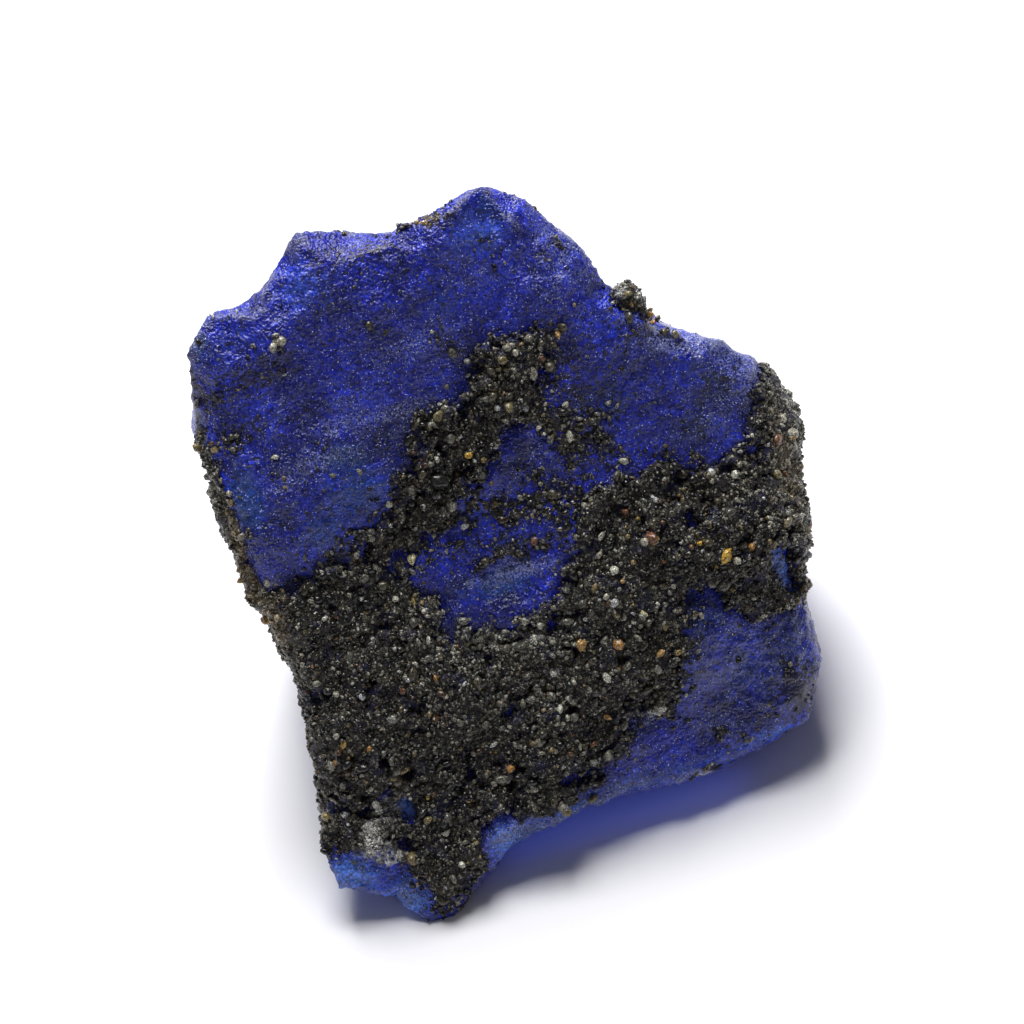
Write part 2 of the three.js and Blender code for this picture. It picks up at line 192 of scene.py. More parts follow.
def flat_light(name, at, across, deep, power, colour):
    """A rectangular light that looks straight down, with its place and its two sides in mm."""
    data = bpy.data.lights.new(name, "AREA")
    data.shape = "RECTANGLE"
    data.size, data.size_y = across * MM, deep * MM
    data.energy = power
    data.color = colour
    light = bpy.data.objects.new(name, data)
    light.location = Vector(at) * MM
    bpy.context.scene.collection.objects.link(light)
    return light


SOFT_LIGHTS = [  # (name, place in mm, across and deep in mm, watts, colour)
    ("top_light", (3, 222, 415), 200, 320, 2.8, (0.98, 0.99, 1.0)),
    ("window", (3, 300, 345), 200, 270, 1.0, (1.0, 0.99, 0.97)),
    ("spark", (60, 160, 400), 45, 45, 0.12, (1.0, 1.0, 1.0)),
]
for name, at, across, deep, power, colour in SOFT_LIGHTS:
    light = flat_light(name, at, across, deep, power, colour)
    light.rotation_euler = (Vector(at) - LIGHTS_FACE).to_track_quat("Z", "Y").to_euler()

# %% [markdown]
# The thin lip over the arch lets blue light through to the paper. A path of light through the rough
# stone is rarely found, so a small blue lamp in the arch stands for it. It is seen neither by the
# camera nor in reflections.

# %% Light through the lip
ARCH_LAMP_AT = (1.0, -12.3, 1.5)
ARCH_LAMP_ACROSS, ARCH_LAMP_DEEP = 17, 3
ARCH_LAMP_POWER = 3.3e-5
LIP_BLUE = (0.05, 0.12, 1.0)
lamp = flat_light(
    "light_through_the_lip", ARCH_LAMP_AT, ARCH_LAMP_ACROSS, ARCH_LAMP_DEEP, ARCH_LAMP_POWER, LIP_BLUE
)
lamp.visible_camera = False
lamp.visible_glossy = False

# %% [markdown]
# ## The blue stone
# Corundum breaks into splinters, steps and small pits. The solid is copied and remeshed into a fine
# even net, and each point of the net is then pushed in or out. Two kinds of relief are added: broad
# dents, and small crystals packed side by side like sugar. They are a little longer across the face
# than up it, because the stone splits that way.

# %% A fine net over the stone
STONE_NET = 0.25 * MM


def fine_copy(node, name, net):
    """A new object with the node's form in an even net of small faces."""
    made = bpy.data.objects.new(name, node.data.copy())
    bpy.context.scene.collection.objects.link(made)
    remesh = made.modifiers.new("net", "REMESH")
    remesh.mode = "VOXEL"
    remesh.voxel_size = net
    fine = bpy.data.meshes.new_from_object(made.evaluated_get(bpy.context.evaluated_depsgraph_get()))
    made.modifiers.clear()
    made.data = fine
    made.data.materials.clear()
    return made


def normals_of(mesh):
    flat = np.empty(len(mesh.vertices) * 3, np.float32)
    mesh.vertex_normals.foreach_get("vector", flat)
    return flat.reshape(-1, 3).astype(float)


stone = fine_copy(stone_node, "rough_sapphire", STONE_NET)
smooth_points = points_of(stone.data)
smooth_normals = normals_of(stone.data)
print("the stone's net has", len(stone.data.polygons), "faces of four sides")

# %% Noise and packed crystals
NOISE_TO_ONE = 1.6  # brings the noise's reach to about 1
CELL_SLOPE = 0.6  # how far from a seam, in sizes of a crystal, it has its full height


def grown(t, low, high):
    """A soft step from 0 to 1 as t goes from low to high."""
    s = np.clip((t - low) / (high - low), 0, 1)
    return s * s * (3 - 2 * s)


def measured_in(points, size):
    """The points along the face's own three directions, in steps of this size in millimetres. Three
    sizes give each direction a step of its own."""
    sizes = np.broadcast_to(np.asarray(size, float), 3)
    own = np.stack([points @ ACROSS, points @ UP_FACE, points @ OUTWARD], axis=1)
    return own / (sizes * MM)


def lumps(points, size, seed):
    """Smooth noise with lumps of this size in millimetres, from about -1 to 1 at each point."""
    spots = measured_in(points, size) + np.array([seed, -1.7 * seed, 0.6 * seed])
    return np.array([noise.noise(Vector(spot)) for spot in spots]) * NOISE_TO_ONE


def granules(points, size, seed):
    """Rounded crystals packed side by side: about 1 at their tops and 0 in the seams between them."""
    spots = measured_in(points, size) + seed
    first_two = np.array([noise.voronoi(Vector(spot))[0][:2] for spot in spots])
    return (first_two[:, 1] - first_two[:, 0]).clip(0, CELL_SLOPE) / CELL_SLOPE


print("noise at three points:", lumps(smooth_points[:3], 1.0, 0).round(2))

# %% Dents and small crystals on the stone
RESTS_BELOW, FREE_ABOVE = 0.05 * MM, 0.9 * MM  # no relief under the first height, all over the second
off_the_ground = grown(smooth_points[:, 2], RESTS_BELOW, FREE_ABOVE)
DENTS = [(3.4, 0.14), (1.3, 0.07), (0.6, 0.05)]  # size across and depth, in mm
GRANULES = [((1.1, 0.8, 0.9), 0.07), ((0.62, 0.5, 0.55), 0.10)]  # the crystals' three sizes and height
DENT_SEED, GRANULE_SEED = 11.3, 3.1
BOX_MARGIN = 0.01 * MM
relief = np.zeros(len(smooth_points))
for number, (size, height) in enumerate(DENTS):
    relief += height * lumps(smooth_points, size, DENT_SEED + number)
for number, (size, height) in enumerate(GRANULES):
    relief += height * (granules(smooth_points, size, GRANULE_SEED + number) - 0.5)
relief *= off_the_ground * MM


def kept_in_box(points):
    """The points, pulled back to just inside the solids' own box."""
    return np.clip(points, np.array(cad_low) + BOX_MARGIN, np.array(cad_high) - BOX_MARGIN)


stone_points = kept_in_box(smooth_points + smooth_normals * relief[:, None])
stone_points[:, 2] = np.where(smooth_points[:, 2] < RESTS_BELOW, cad_low.z, stone_points[:, 2])
stone.data.vertices.foreach_set("co", stone_points.ravel())
stone.data.update()
print("relief from", (relief.min() / MM).round(2), "to", (relief.max() / MM).round(2), "mm")

# %% [markdown]
# ## Patches on the face
# Frost, cloudy spots, dirt, thin sand and bare windows all come in patches, and so do painted glow,
# sheen and shade. Each patch is given by its place on the face and by how far it spreads along and
# across the grain of the stone. What a kind of patch adds up to at each point is kept with the mesh,
# where the finish reads it.

# %% How patches mark the points
PATCH_DEEP = 3  # mm: a patch fades this fast off the face, so that it stays off the back


def patches_at(points, patches):
    """How strongly a list of patches marks each point, from 0 to about 1. A patch is (across, up) on
    the face, its spread along and up in mm, and its strength."""
    total = np.zeros(len(points))
    for (across, up), along_mm, up_mm, strength in patches:
        away = (points - on_face(across, up)) / MM
        spread = (away @ ACROSS / along_mm) ** 2 + (away @ UP_FACE / up_mm) ** 2
        spread += (away @ OUTWARD / PATCH_DEEP) ** 2
        total += strength * np.exp(-spread / 2)
    return total


# %% Pale patches
FROST = [  # streaks of broken white splinters
    ((0.28, 0.72), 2.2, 0.45, 1.0), ((0.39, 0.72), 1.0, 0.5, 0.7), ((0.21, 0.68), 2.3, 0.4, 0.9),
    ((0.15, 0.66), 1.6, 0.4, 0.5), ((0.27, 0.75), 1.3, 0.5, 0.5), ((0.14, 0.75), 1.5, 0.6, 0.5),
    ((0.43, 0.81), 2.0, 0.8, 0.5), ((0.36, 0.80), 1.8, 0.6, 0.4), ((0.52, 0.88), 2.6, 0.7, 0.45),
    ((0.65, 0.83), 1.4, 0.8, 0.4), ((0.47, 0.46), 1.9, 0.35, 1.5), ((0.44, 0.48), 1.2, 0.3, 0.9),
    ((0.67, 0.90), 1.3, 1.8, 0.8), ((0.80, 0.73), 2.4, 0.6, 0.8), ((0.91, 0.67), 1.2, 1.6, 0.9),
    ((0.86, 0.60), 1.8, 1.2, 0.5), ((0.06, 0.89), 0.8, 0.9, 0.8), ((0.17, 0.18), 0.6, 0.5, 1.3),
    ((0.12, 0.14), 1.1, 0.7, 1.5), ((0.63, 0.21), 0.9, 0.35, 0.8), ((0.58, 0.12), 1.6, 0.3, 0.8),
    ((0.34, 0.10), 1.0, 0.6, 0.9), ((0.45, 0.10), 1.6, 0.25, 1.2), ((0.66, 0.11), 1.4, 0.25, 1.3),
    ((0.50, 0.11), 0.8, 0.3, 0.9), ((0.78, 0.77), 1.6, 0.4, 1.2), ((0.86, 0.71), 2.0, 0.4, 1.2),
    ((0.95, 0.66), 0.7, 1.0, 1.2), ((0.16, 0.05), 0.8, 0.5, 0.8), ((0.02, 0.76), 0.4, 1.2, 1.0),
]
CREAM = [  # chalky white crusts
    ((0.160, 0.180), 0.50, 0.45, 2.4), ((0.128, 0.135), 0.35, 0.55, 2.8), ((0.143, 0.110), 0.50, 0.35, 2.2),
    ((0.12, 0.12), 0.7, 0.25, 1.0), ((0.125, 0.155), 0.3, 0.3, 1.5), ((0.63, 0.215), 0.5, 0.20, 1.2),
    ((0.69, 0.108), 0.4, 0.15, 1.3), ((0.475, 0.462), 1.0, 0.14, 0.9),
    ((0.75, 0.805), 0.35, 0.3, 1.0), ((0.475, 0.365), 0.5, 0.35, 0.7),
]
print("streaks of frost:", len(FROST), "and chalky crusts:", len(CREAM))

# %% Patches of lighter blue, painted glow, haze with painted sheen, and dirt with painted shade
# clouds of lighter, greener blue; those low on the face, along the foot and the lip, are partly painted
# glow of light through the thin rim
CLOUDS_AND_GLOW = [  # lighter, greener blue from within
    ((0.24, 0.68), 1.4, 0.7, 0.8), ((0.25, 0.62), 1.7, 1.3, 1.0), ((0.17, 0.58), 1.0, 0.9, 0.8),
    ((0.07, 0.65), 0.8, 1.4, 1.5), ((0.46, 0.85), 1.2, 1.0, 0.5), ((0.57, 0.97), 0.5, 0.6, 0.9),
    ((0.34, 0.63), 0.8, 0.7, 0.4), ((0.44, 0.45), 1.8, 0.7, 1.1), ((0.48, 0.50), 2.0, 0.9, 0.5),
    ((0.69, 0.66), 1.4, 1.2, 0.5), ((0.82, 0.60), 1.8, 0.9, 0.5), ((0.06, 0.88), 0.5, 0.6, 1.0),
    ((0.895, 0.365), 0.6, 1.4, 1.5), ((0.16, 0.07), 0.5, 0.5, 1.0), ((0.60, 0.12), 2.5, 0.6, 0.8),
    ((0.37, 0.09), 1.5, 0.7, 1.0), ((0.47, 0.09), 1.8, 0.7, 1.0), ((0.14, 0.045), 0.8, 0.4, 0.9),
    ((0.80, 0.24), 1.8, 1.0, 0.7), ((0.75, 0.33), 1.2, 0.8, 0.6), ((0.90, 0.27), 0.8, 1.2, 0.6),
]
# painted glow: where these patches lie, the blue is painted brighter, standing for light that shines
# through thin stone
PAINTED_GLOW = [  # thin places that the light shines through
    ((0.25, 0.92), 1.5, 1.3, 0.9), ((0.55, 0.93), 1.6, 1.3, 1.0), ((0.62, 0.80), 1.5, 1.5, 0.35),
    ((0.84, 0.67), 1.3, 1.0, 0.5), ((0.82, 0.14), 1.8, 0.5, 1.2), ((0.58, 0.13), 2.0, 0.5, 0.6),
    ((0.07, 0.10), 1.6, 1.0, 1.8), ((0.15, 0.04), 1.5, 0.9, 1.8), ((0.34, 0.10), 0.8, 1.0, 1.2),
    ((0.20, 0.18), 0.7, 0.8, 2.0), ((0.33, 0.08), 1.5, 0.8, 0.8), ((0.45, 0.09), 2.0, 0.8, 0.8),
    ((0.70, 0.12), 2.0, 0.6, 0.8),
    ((0.12, 0.87), 1.3, 1.2, 0.4), ((0.895, 0.37), 0.5, 1.2, 1.4),
]
# the grey bloom in the next list is partly real frost and partly a painted sheen
HAZE_AND_SHEEN = [  # a grey bloom of fine scratches and dust
    ((0.76, 0.27), 3.2, 3.0, 0.70), ((0.87, 0.21), 1.6, 1.4, 0.9), ((0.92, 0.66), 1.0, 2.4, 0.45),
    ((0.80, 0.75), 2.4, 0.7, 0.9), ((0.90, 0.70), 1.8, 0.6, 0.9), ((0.955, 0.63), 0.6, 1.6, 0.45),
    ((0.47, 0.51), 3.0, 1.8, 0.75), ((0.88, 0.28), 1.2, 1.6, 0.6),
    ((0.05, 0.49), 1.0, 1.2, 0.5), ((0.70, 0.85), 0.7, 2.0, 0.8), ((0.02, 0.78), 0.4, 1.6, 1.0),
]
# dirt in the pits, and one patch of painted shade that darkens the top ledge
GRIME_AND_SHADE = [  # dirt in the pits
    ((0.13, 0.813), 1.2, 0.6, 1.2), ((0.07, 0.74), 1.2, 0.6, 1.0), ((0.062, 0.80), 0.8, 0.6, 1.0),
    # the first patch on the next line is painted shade on the top ledge
    ((0.36, 0.945), 2.2, 0.5, 0.9), ((0.10, 0.70), 0.8, 0.4, 0.6),
    ((0.13, 0.76), 1.4, 0.4, 0.5), ((0.31, 0.85), 1.0, 0.8, 0.3), ((0.26, 0.83), 0.8, 0.5, 0.3),
    ((0.62, 0.71), 1.8, 1.8, 0.8), ((0.88, 0.65), 1.2, 0.8, 0.8), ((0.76, 0.74), 1.4, 0.6, 0.7),
    ((0.88, 0.195), 1.1, 1.3, 1.7), ((0.62, 0.60), 2.4, 2.0, 0.5), ((0.03, 0.82), 0.5, 1.5, 0.7),
    ((0.50, 0.52), 3.0, 1.8, 0.5),
]
print("clouds, glow, haze and grime:", [len(patches) for patches in (CLOUDS_AND_GLOW, PAINTED_GLOW, HAZE_AND_SHEEN, GRIME_AND_SHADE)])

# %% Keep the patches with the stone


def keep_with(piece, name, values):
    """Keeps one number per point with the piece, for its finish to read."""
    kept = piece.data.attributes.new(name, "FLOAT", "POINT")
    kept.data.foreach_set("value", np.ascontiguousarray(values, np.float32))


KINDS = {"frost": FROST, "cream": CREAM, "clouds_and_glow": CLOUDS_AND_GLOW, "painted_glow": PAINTED_GLOW, "haze_and_sheen": HAZE_AND_SHEEN, "grime_and_shade": GRIME_AND_SHADE}
for name, patches in KINDS.items():
    values = patches_at(smooth_points, patches)
    keep_with(stone, name, values)
    print(name, "marks", int((values > 0.3).sum()), "points")

# %% [markdown]
# ## Worn edges
# A rough stone that has rolled in gravel is rubbed pale along its ridges. To find them, a copy of the
# stone is smoothed: it shrinks away from ridges and edges, and the gap shows how sharply they stand out.

# %% Worn edges
WORN_SHARE = (0.90, 0.985)  # wear starts with this share of the points and is full at the second one
ROUNDS_OFF = 32  # how many times the copy is smoothed


def neighbours_mean(mesh, rounds):
    """A function that averages a value over each point's neighbours, this many times."""
    ends = np.empty(len(mesh.edges) * 2, np.int32)
    mesh.edges.foreach_get("vertices", ends)
    a, b = ends.reshape(-1, 2).T
    count = np.bincount(ends, minlength=len(mesh.vertices)).clip(1)

    def mean(values):
        for _ in range(rounds):
            total = np.bincount(a, values[b], len(values)) + np.bincount(b, values[a], len(values))
            values = 0.5 * values + 0.5 * total / count
        return values

    return mean


closely_softened = neighbours_mean(stone.data, ROUNDS_OFF)
rounded_off = np.stack([closely_softened(column) for column in smooth_points.T], axis=1)
stands_out = ((smooth_points - rounded_off) * smooth_normals).sum(axis=1)
starts, ends = np.quantile(stands_out, WORN_SHARE)
keep_with(stone, "worn", grown(stands_out, starts, ends) * off_the_ground)
print("worn edges stand out by", (starts / MM).round(3), "to", (ends / MM).round(3), "mm")

# %% [markdown]
# ## Where the crust lies
# The crust's solid says where the sand is and how thick it lies. A line cast down on the stone through
# each point meets the crust's outer side or misses it. The yes-or-no answer is smoothed over the net
# and frayed with noise, so that the sand thins out in a ragged edge instead of along the solid's faces.
# Thin sprinklings spread it further, and bare windows open it.

# %% Thin sand and bare windows
SPRINKLED = [
    ((0.62, 0.73), 1.3, 1.4, 0.50), ((0.64, 0.63), 1.3, 1.2, 0.46), ((0.58, 0.64), 1.0, 0.9, 0.46),
    ((0.66, 0.535), 1.5, 0.6, 0.50), ((0.55, 0.54), 1.8, 0.7, 0.60), ((0.44, 0.555), 2.0, 0.7, 0.52),
    ((0.37, 0.50), 1.2, 0.8, 0.50), ((0.72, 0.58), 1.3, 0.9, 0.34), ((0.52, 0.49), 1.0, 0.7, 0.38),
    ((0.22, 0.55), 1.1, 0.8, 0.60), ((0.38, 0.70), 0.9, 0.6, 0.50), ((0.61, 0.43), 1.0, 0.9, 0.50),
    ((0.40, 0.45), 1.0, 0.5, 0.30), ((0.88, 0.64), 0.9, 0.7, 0.36), ((0.76, 0.73), 1.2, 0.7, 0.34),
    ((0.52, 0.535), 3.0, 1.9, 0.34), ((0.61, 0.60), 1.8, 2.2, 0.26), ((0.54, 0.40), 1.4, 0.3, 0.50),
    ((0.055, 0.148), 1.2, 0.35, 0.90), ((0.968, 0.585), 0.45, 1.3, 1.10), ((0.77, 0.79), 0.7, 0.5, 0.60),
    ((0.115, 0.137), 0.45, 0.45, 0.70), ((0.045, 0.138), 0.6, 0.3, 0.50),
    ((0.13, 0.813), 1.0, 0.40, 0.58), ((0.075, 0.735), 0.9, 0.3, 0.50), ((0.062, 0.80), 0.6, 0.45, 0.50),
    ((0.08, 0.86), 0.9, 0.4, 0.30),
    ((0.70, 0.31), 1.2, 1.0, 0.48), ((0.66, 0.24), 0.7, 1.0, 0.40), ((0.71, 0.17), 1.2, 0.5, 0.34),
    ((0.83, 0.35), 1.3, 0.6, 0.80), ((0.88, 0.325), 0.8, 0.5, 0.70), ((0.88, 0.18), 0.9, 0.7, 0.30),
    ((0.47, 0.965), 0.9, 0.30, 0.95), ((0.545, 0.765), 0.8, 0.8, 0.60), ((0.545, 0.72), 0.8, 0.9, 0.35),
    ((0.545, 0.675), 0.9, 0.8, 0.60), ((0.81, 0.56), 2.0, 0.7, 0.30), ((0.06, 0.17), 1.2, 0.7, 0.90),
    ((0.20, 0.08), 0.9, 1.0, 0.60), ((0.26, 0.09), 0.9, 1.0, 0.80), ((0.205, 0.035), 0.5, 0.7, 0.80),
    ((0.31, 0.98), 1.2, 0.2, 0.40), ((0.02, 0.745), 0.4, 0.9, 0.9), ((0.02, 0.69), 0.5, 1.6, 0.8),
    ((0.025, 0.62), 0.5, 1.6, 0.8),
    ((0.03, 0.54), 0.6, 1.6, 0.8), ((0.045, 0.47), 0.6, 1.4, 0.8), ((0.785, 0.765), 0.8, 0.6, 0.9),
    ((0.812, 0.735), 0.6, 0.5, 0.8), ((0.29, 0.115), 0.5, 0.8, 0.5), ((0.42, 0.125), 1.6, 0.35, 0.7),
    ((0.245, 0.075), 0.5, 0.8, 0.8), ((0.27, 0.10), 0.4, 0.8, 0.6), ((0.225, 0.045), 0.6, 0.6, 0.7),
    ((0.755, 0.80), 0.7, 0.6, 0.9), ((0.055, 0.215), 1.2, 0.8, 0.8), ((0.10, 0.145), 0.8, 0.5, 0.5),
    ((0.47, 0.475), 1.6, 0.9, 0.15), ((0.56, 0.60), 1.6, 1.2, 0.08),
]
WINDOWS = [
    ((0.19, 0.17), 0.6, 0.7, 1.1), ((0.065, 0.09), 0.9, 0.5, 1.5), ((0.635, 0.715), 0.9, 1.0, 0.40),
    ((0.11, 0.075), 1.0, 0.5, 1.5),
    ((0.155, 0.03), 0.5, 0.4, 1.0), ((0.475, 0.155), 1.0, 0.3, 0.9), ((0.335, 0.10), 0.7, 0.6, 1.4),
    ((0.40, 0.085), 1.3, 0.3, 0.8), ((0.47, 0.085), 1.3, 0.3, 0.8), ((0.54, 0.10), 1.5, 0.6, 1.2),
    ((0.61, 0.13), 1.3, 0.8, 1.2), ((0.07, 0.36), 0.5, 1.2, 0.7), ((0.21, 0.23), 0.5, 0.6, 0.4),
    ((0.897, 0.362), 0.45, 1.2, 1.5), ((0.46, 0.44), 1.3, 0.5, 0.4), ((0.77, 0.355), 1.2, 0.6, 0.9),
    ((0.86, 0.73), 2.2, 1.0, 1.3), ((0.93, 0.68), 1.0, 0.9, 1.3), ((0.89, 0.62), 0.9, 1.8, 1.1),
]
print("thin sprinklings:", len(SPRINKLED), "and bare windows:", len(WINDOWS))

# %% How thick the crust is at each point of the stone
FAR = 2.4 * MM  # more than the crust is thick anywhere
FRAYS = [(0.28, 1.9, 21.4), (0.34, 0.8, 22.9), (0.18, 0.42, 24.1)]  # strength, size in mm, seed
COVERED = 0.5  # sand lies where the frayed cover is above this
AVERAGED, WIDELY_AVERAGED = 11, 78  # how many times the thickness and the cover are averaged
LEAST_COVER = 0.25  # with fewer of its neighbours under crust than this share, the thickness fades


def crust_height(point, normal):
    """How far the crust's outer side stands off the stone here, or 0 where there is none."""
    hit = crust_tree.ray_cast(point + normal * FAR, -normal, FAR)
    return FAR - hit[3] if hit[0] is not None else 0.0


pairs = zip(smooth_points.tolist(), smooth_normals.tolist())
height = np.array([crust_height(Vector(p), Vector(n)) for p, n in pairs])
softened = neighbours_mean(stone.data, AVERAGED)
widely_softened = neighbours_mean(stone.data, WIDELY_AVERAGED)
is_crust = (height > 0).astype(float)
height = softened(height) / np.maximum(softened(is_crust), LEAST_COVER)
inside = widely_softened(is_crust)
ragged = inside + patches_at(smooth_points, SPRINKLED) - patches_at(smooth_points, WINDOWS)
for strength, size, seed in FRAYS:
    ragged = ragged + strength * lumps(smooth_points, size, seed)
print("share of the stone under crust:", (ragged > COVERED).mean().round(2))

# %% [markdown]
# ## The bed of the crust
# Between the grains shows a dark cement of silt. It is one thin lumpy sheet, raised from the stone's
# own net where the sand lies and dipping under the blue at its edge, so no gap or step can be seen.
# Knobs as big as grains stand in it, two mounds fill the ledge at the upper right, and the grains
# proper are set in it afterwards.

# %% Raise the bed
GRAIN_ROOM = 0.20 * MM  # the grains stand this much above the bed
BED_ROOT = 0.35 * MM  # the bed is rooted this deep in the stone
BED_SUNK = 0.22 * MM  # the bed's edge dips this far under the blue
BED_THIN = 0.06 * MM  # where the sand is thin, the bed stands this far above it
UNEVEN, KNOBS = 0.12 * MM, 0.16 * MM  # the bed's broad lumps and its knobs stand this high
MOUNDS = [((0.752, 0.800), 0.9, 0.6, 1.0), ((0.785, 0.772), 0.8, 0.4, 0.6)]  # heights in mm
COMES_UP = (0.40, 0.60)  # between these values of the frayed cover the bed comes up out of the blue
THICKENS = (0.46, 0.85)  # and between these it grows to its full thickness
full = grown(ragged, *THICKENS)
rise = (BED_SUNK + BED_THIN) * grown(ragged, *COMES_UP) - BED_SUNK
rise += full * np.maximum(height - GRAIN_ROOM, 0)
rise += full * UNEVEN * lumps(smooth_points, 0.9, 31.2)
rise += full * KNOBS * (granules(smooth_points, 0.52, 33.7) - 0.5)
rise += full * MM * patches_at(smooth_points, MOUNDS)
top = kept_in_box(smooth_points + smooth_normals * rise[:, None])
root = smooth_points - smooth_normals * BED_ROOT
print("the bed stands up to", (rise.max() / MM).round(2), "mm off the stone")

# %% Close the bed into one sheet
BED_EDGE = 0.38  # the bed ends where the frayed cover falls below this


def mesh_of(name, points, triangles):
    """A new mesh object from rows of points and rows of three point numbers."""
    mesh = bpy.data.meshes.new(name)
    mesh.vertices.add(len(points))
    mesh.vertices.foreach_set("co", np.ascontiguousarray(points, np.float32).ravel())
    mesh.loops.add(triangles.size)
    mesh.loops.foreach_set("vertex_index", np.ascontiguousarray(triangles, np.int32).ravel())
    mesh.polygons.add(len(triangles))
    mesh.polygons.foreach_set("loop_start", np.arange(0, triangles.size, 3, dtype=np.int32))
    mesh.update(calc_edges=True)
    made = bpy.data.objects.new(name, mesh)
    bpy.context.scene.collection.objects.link(made)
    return made


def closed_sheet(name, top, root, triangles):
    """A closed sheet between two copies of the same triangles, with walls along the rim."""
    used, numbers = np.unique(triangles, return_inverse=True)
    upper = numbers.reshape(-1, 3)
    count = len(used)
    edges = np.concatenate([upper[:, [0, 1]], upper[:, [1, 2]], upper[:, [2, 0]]])
    known = set(map(tuple, edges.tolist()))
    rim = np.array([(a, b) for a, b in edges.tolist() if (b, a) not in known])
    walls = np.concatenate([
        np.stack([rim[:, 1], rim[:, 0], rim[:, 0] + count], axis=1),
        np.stack([rim[:, 1], rim[:, 0] + count, rim[:, 1] + count], axis=1),
    ])
    return mesh_of(
        name,
        np.concatenate([top[used], root[used]]),
        np.concatenate([upper, upper[:, ::-1] + count, walls]),
    )


stone_triangles = triangles_of(stone.data)
bed_triangles = stone_triangles[(ragged[stone_triangles] > BED_EDGE).all(axis=1)]
bed = closed_sheet("crust_bed", top, root, bed_triangles)
print("the crust's bed has", len(bed.data.polygons), "faces")

# %% [markdown]
# ## The grains
# The crust is coarse sand: dark basalt and clouded quartz, with a few tan, orange and pale grains. A
# grain is a ball of few faces, knocked out of shape. A few dozen such shapes are made once, then each
# grain takes one of them, turned and sized at random. All grains of a size are joined in one mesh,
# because thousands of separate objects would be slow.

# %% Shapes of grains
SEED = 20
LEAST_SIZES, MOST_SIZES = (0.85, 0.60, 0.45), (1.25, 1.0, 0.85)  # long, middling and short way through
BUMPS = (0.82, 1.1)  # each point lies between these radii
FLATS_AT = (0.62, 0.85)  # a flat is struck this far from the middle
SHAPES_OF_A_SIZE = 40
rng = np.random.default_rng(SEED)


def knocked(points, how_many, flats):
    """Copies of a closed form of radius about 1, each flattened and with flats struck off its sides."""
    shapes = []
    for _ in range(how_many):
        sizes = rng.uniform(LEAST_SIZES, MOST_SIZES)
        bumps = rng.uniform(*BUMPS, len(points))
        for _ in range(flats):
            side = rng.normal(size=3)
            side /= np.linalg.norm(side)
            reach = points @ side * bumps
            cut = rng.uniform(*FLATS_AT)
            bumps = np.where(reach > cut, bumps * cut / np.maximum(reach, 1e-6), bumps)
        shapes.append(points * bumps[:, None] * sizes)
    return np.array(shapes)


def ball(subdivisions):
    """The points and triangles of a ball of radius 1."""
    made = bmesh.new()
    bmesh.ops.create_icosphere(made, subdivisions=subdivisions, radius=1)
    points = np.array([v.co for v in made.verts])
    triangles = np.array([[v.index for v in f.verts] for f in made.faces])
    made.free()
    return points, triangles


def drum():
    """A six-sided drum with blunt pointed ends, of twelve triangles: the plainest angular grain."""
    turns = np.arange(6) * math.tau / 6
    ring = np.stack([np.cos(turns), np.sin(turns), 0.45 * (-1.0) ** np.arange(6)], axis=1)
    ends = np.array([[0, 0, 1], [0, 0, -1]])
    points = np.concatenate([ring, ends])
    triangles = [[k, (k + 1) % 6, 6] for k in range(6)] + [[(k + 1) % 6, k, 7] for k in range(6)]
    return points, np.array(triangles)


def grain_shapes(form, how_many, flats):
    """Knocked copies of a form given as its points and triangles, with those same triangles."""
    points, triangles = form
    return knocked(points, how_many, flats), triangles


SMALL_SHAPES = grain_shapes(drum(), SHAPES_OF_A_SIZE, flats=1)
MIDDLE_SHAPES = grain_shapes(ball(1), SHAPES_OF_A_SIZE, flats=4)
LARGE_SHAPES = grain_shapes(ball(2), SHAPES_OF_A_SIZE, flats=7)
ALL_SHAPES = (SMALL_SHAPES, MIDDLE_SHAPES, LARGE_SHAPES)
print("faces of a small, middling and large grain:", [len(triangles) for _, triangles in ALL_SHAPES])

# %% Many grains in one mesh


def random_turns(count):
    """Rotation matrices that point every way alike."""
    q = rng.normal(size=(count, 4))
    q /= np.linalg.norm(q, axis=1)[:, None]
    w, x, y, z = q.T
    return np.stack([
        1 - 2 * (y * y + z * z), 2 * (x * y - z * w), 2 * (x * z + y * w),
        2 * (x * y + z * w), 1 - 2 * (x * x + z * z), 2 * (y * z - x * w),
        2 * (x * z - y * w), 2 * (y * z + x * w), 1 - 2 * (x * x + y * y),
    ], axis=1).reshape(count, 3, 3)


def joined_grains(name, shapes, places, radii, colours):
    """One mesh of many grains: each has a place, a radius and a colour of its own."""
    points, triangles = shapes
    chosen = points[rng.integers(len(points), size=len(places))]
    turned = np.einsum("nij,nvj->nvi", random_turns(len(places)), chosen) * radii[:, None, None]
    low = np.array(cad_low) + BOX_MARGIN - turned.min(axis=1)
    high = np.array(cad_high) - BOX_MARGIN - turned.max(axis=1)
    placed = turned + np.clip(places, low, high)[:, None, :]
    per_grain = points.shape[1]
    shifts = np.arange(len(places)) * per_grain
    faces = (triangles[None, :, :] + shifts[:, None, None]).reshape(-1, 3)
    made = mesh_of(name, placed.reshape(-1, 3), faces)
    tone = made.data.color_attributes.new("grain_tone", "FLOAT_COLOR", "POINT")
    rgba = np.ones((len(places), per_grain, 4), np.float32)
    rgba[:, :, :3] = colours[:, None, :]
    tone.data.foreach_set("color", rgba.ravel())
    print(name, "has", len(places), "grains and", len(faces), "faces")
    return made


# %% [markdown]
# ## Colours of the sand
# Most grains are basalt, nearly black, or olive and grey. One in ten is clouded quartz, and a few are
# tan, rust or yellow. Each grain draws one of these tones by its share and varies it a little. Where
# pale silt or brown sand has settled the grains turn towards that, as real sand does.

# %% Colours of grains


def linear(red, green, blue):
    """A colour as a painter names it, from 0 to 255, turned into amounts of light."""
    c = np.array([red, green, blue]) / 255
    return np.where(c <= 0.04045, c / 12.92, ((c + 0.055) / 1.055) ** 2.4)


